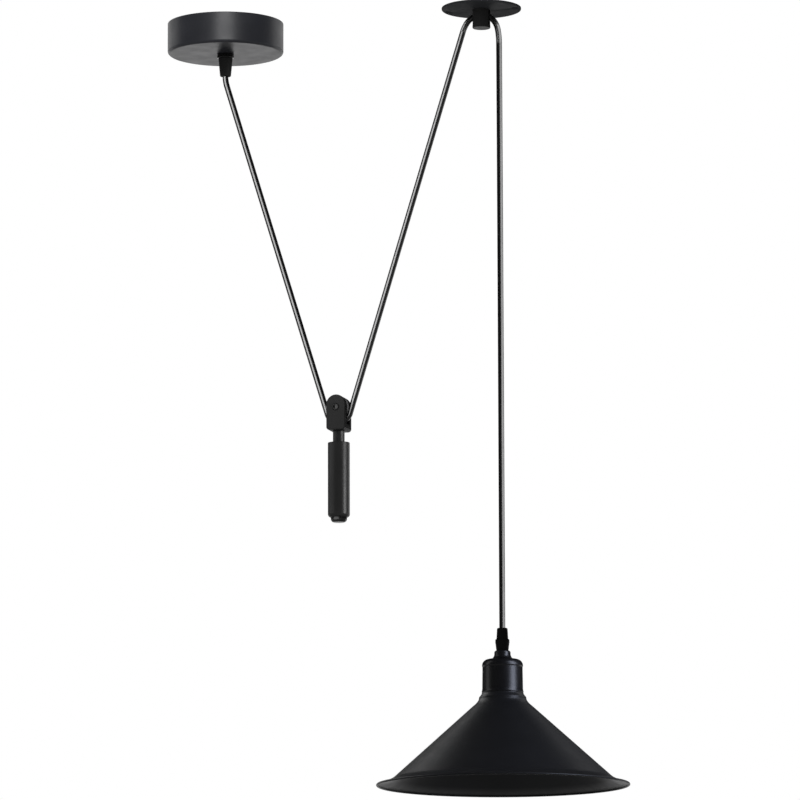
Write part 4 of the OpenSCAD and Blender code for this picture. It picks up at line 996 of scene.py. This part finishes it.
# each panel looks at its aim from turn degrees right of the camera's direction and rise degrees up; lit names
# the pieces that it lights, and a soft panel lights all pieces but shows in no reflection
panelDistance = 2.0  # where a panel names no distance of its own
canopyAim, weightAim, shadeAim = (0, 0, -0.016), (0.1216, 0, -0.48), (0.2925, 0, -0.76)
cupAim = (0.2925, 0, -0.69)
panels = {
    "frontSoft": {
        "aim": (0.18, 0, -0.4), "turn": -38, "rise": 15, "distance": 3.0, "size": (2.0, 2.0),
        "radiance": 1.2, "soft": True},
    "canopyFront": {
        "aim": canopyAim, "turn": 0, "rise": 13, "size": (0.9, 0.8), "radiance": 7.4, "lit": ["canopyShell"]},
    "canopyLeft": {
        "aim": canopyAim, "turn": -135, "rise": 13, "size": (2.2, 0.8), "radiance": 0.9,
        "lit": ["canopyShell"]},
    "canopyRight": {
        "aim": canopyAim, "turn": 135, "rise": 13, "size": (2.2, 0.8), "radiance": 0.9,
        "lit": ["canopyShell"]},
    "gripRight": {
        "aim": (0, 0, -0.05), "turn": 60, "rise": 13, "size": (1.0, 0.8), "radiance": 3.0,
        "lit": ["gripCollarPiece", "gripSleevePiece"]},
    "legsLeft": {
        "aim": (0.13, 0, -0.22), "turn": -36, "rise": 10, "size": (2.0, 1.2), "radiance": 6.6,
        "lit": ["flexLeftLeg", "flexRightLeg", "flexWrap", "pulleyWheelPiece"]},
    "bendLeft": {
        "aim": (0.265, 0, -0.02), "turn": -50, "rise": 43, "distance": 1.6, "size": (1.6, 1.4),
        "radiance": 7.5, "lit": ["flexBend"]},
    "bendTop": {
        "aim": (0.274, 0, -0.02), "turn": 4, "rise": 50, "distance": 1.6, "size": (1.8, 1.0),
        "radiance": 6.0, "lit": ["flexBend"]},
    "bendRight": {
        "aim": (0.283, 0, -0.02), "turn": 58, "rise": 26, "distance": 1.6, "size": (2.6, 1.9),
        "radiance": 4.0, "lit": ["flexBend"]},
    "dropRight": {
        "aim": (0.2925, 0, -0.34), "turn": 62, "rise": 9.5, "size": (3.8, 1.2), "radiance": 3.9,
        "lit": ["flexDrop"]},
    "weightRight": {
        "aim": weightAim, "turn": 67, "rise": 8.5, "size": (0.9, 0.8), "radiance": 9.5,
        "lit": ["stemPiece", "weightPiece"]},
    "weightLeft": {
        "aim": weightAim, "turn": -85, "rise": 8.5, "size": (2.6, 0.8), "radiance": 0.75,
        "lit": ["stemPiece", "weightPiece"]},
    "blockFront": {
        "aim": (0.1216, 0, -0.41), "turn": -30, "rise": 9, "size": (1.4, 1.2), "radiance": 2.0,
        "lit": ["clevisPiece", "axleScrewPiece"]},
    "weightEdge": {
        "aim": weightAim, "turn": 140, "rise": 8.5, "size": (1.2, 0.8), "radiance": 1.2,
        "lit": ["stemPiece", "weightPiece"]},
    "capLeft": {
        "aim": (0.1216, 0, -0.52), "turn": -40, "rise": -4, "size": (3.0, 1.6), "radiance": 2.2,
        "lit": ["endCapPiece"]},
    "cupRight": {
        "aim": cupAim, "turn": 62, "rise": 20, "size": (1.1, 2.1), "radiance": 5.5,
        "colour": (0.86, 0.93, 1.15), "lit": ["cupPiece", "shadePiece"]},
    "cupLeft": {
        "aim": cupAim, "turn": -95, "rise": 20, "size": (0.7, 2.1), "radiance": 0.9, "lit": ["cupPiece"]},
    "shadeLeft": {
        "aim": shadeAim, "turn": -123, "rise": 31, "distance": 2.2, "size": (1.8, 1.2), "radiance": 1.9,
        "lit": ["shadePiece"]},
    "shadeRight": {
        "aim": shadeAim, "turn": 123, "rise": 31, "distance": 2.2, "size": (1.8, 1.2), "radiance": 0.65,
        "lit": ["shadePiece"]},
}


def makePanel(name, v):
    turn, rise = math.radians(v["turn"]), math.radians(v["rise"])
    level = towardsCamera * math.cos(turn) + cameraRight * math.sin(turn)
    way = level * math.cos(rise) + Vector((0, 0, math.sin(rise)))
    data = bpy.data.lights.new(name, "AREA")
    data.shape = "RECTANGLE"
    data.size, data.size_y = v["size"]
    data.energy = v["radiance"] * math.pi * data.size * data.size_y
    data.color = v.get("colour", (1, 1, 1))
    panel = addObject(name, data)
    panel.location = Vector(v["aim"]) + way * v.get("distance", panelDistance)
    panel.rotation_euler = way.to_track_quat("Z", "Y").to_euler()
    panel.visible_camera = False
    if v.get("soft"):
        panel.visible_glossy = False
    if "lit" in v:
        group = bpy.data.collections.new(name + "Lights")
        for piece in v["lit"]:
            group.objects.link(bpy.data.objects[piece])
        panel.light_linking.receiver_collection = group


for name, values in panels.items():
    makePanel(name, values)
print("stage and light made:", len(panels), "panels")

scene = bpy.context.scene
scene.view_settings.view_transform = "Standard"
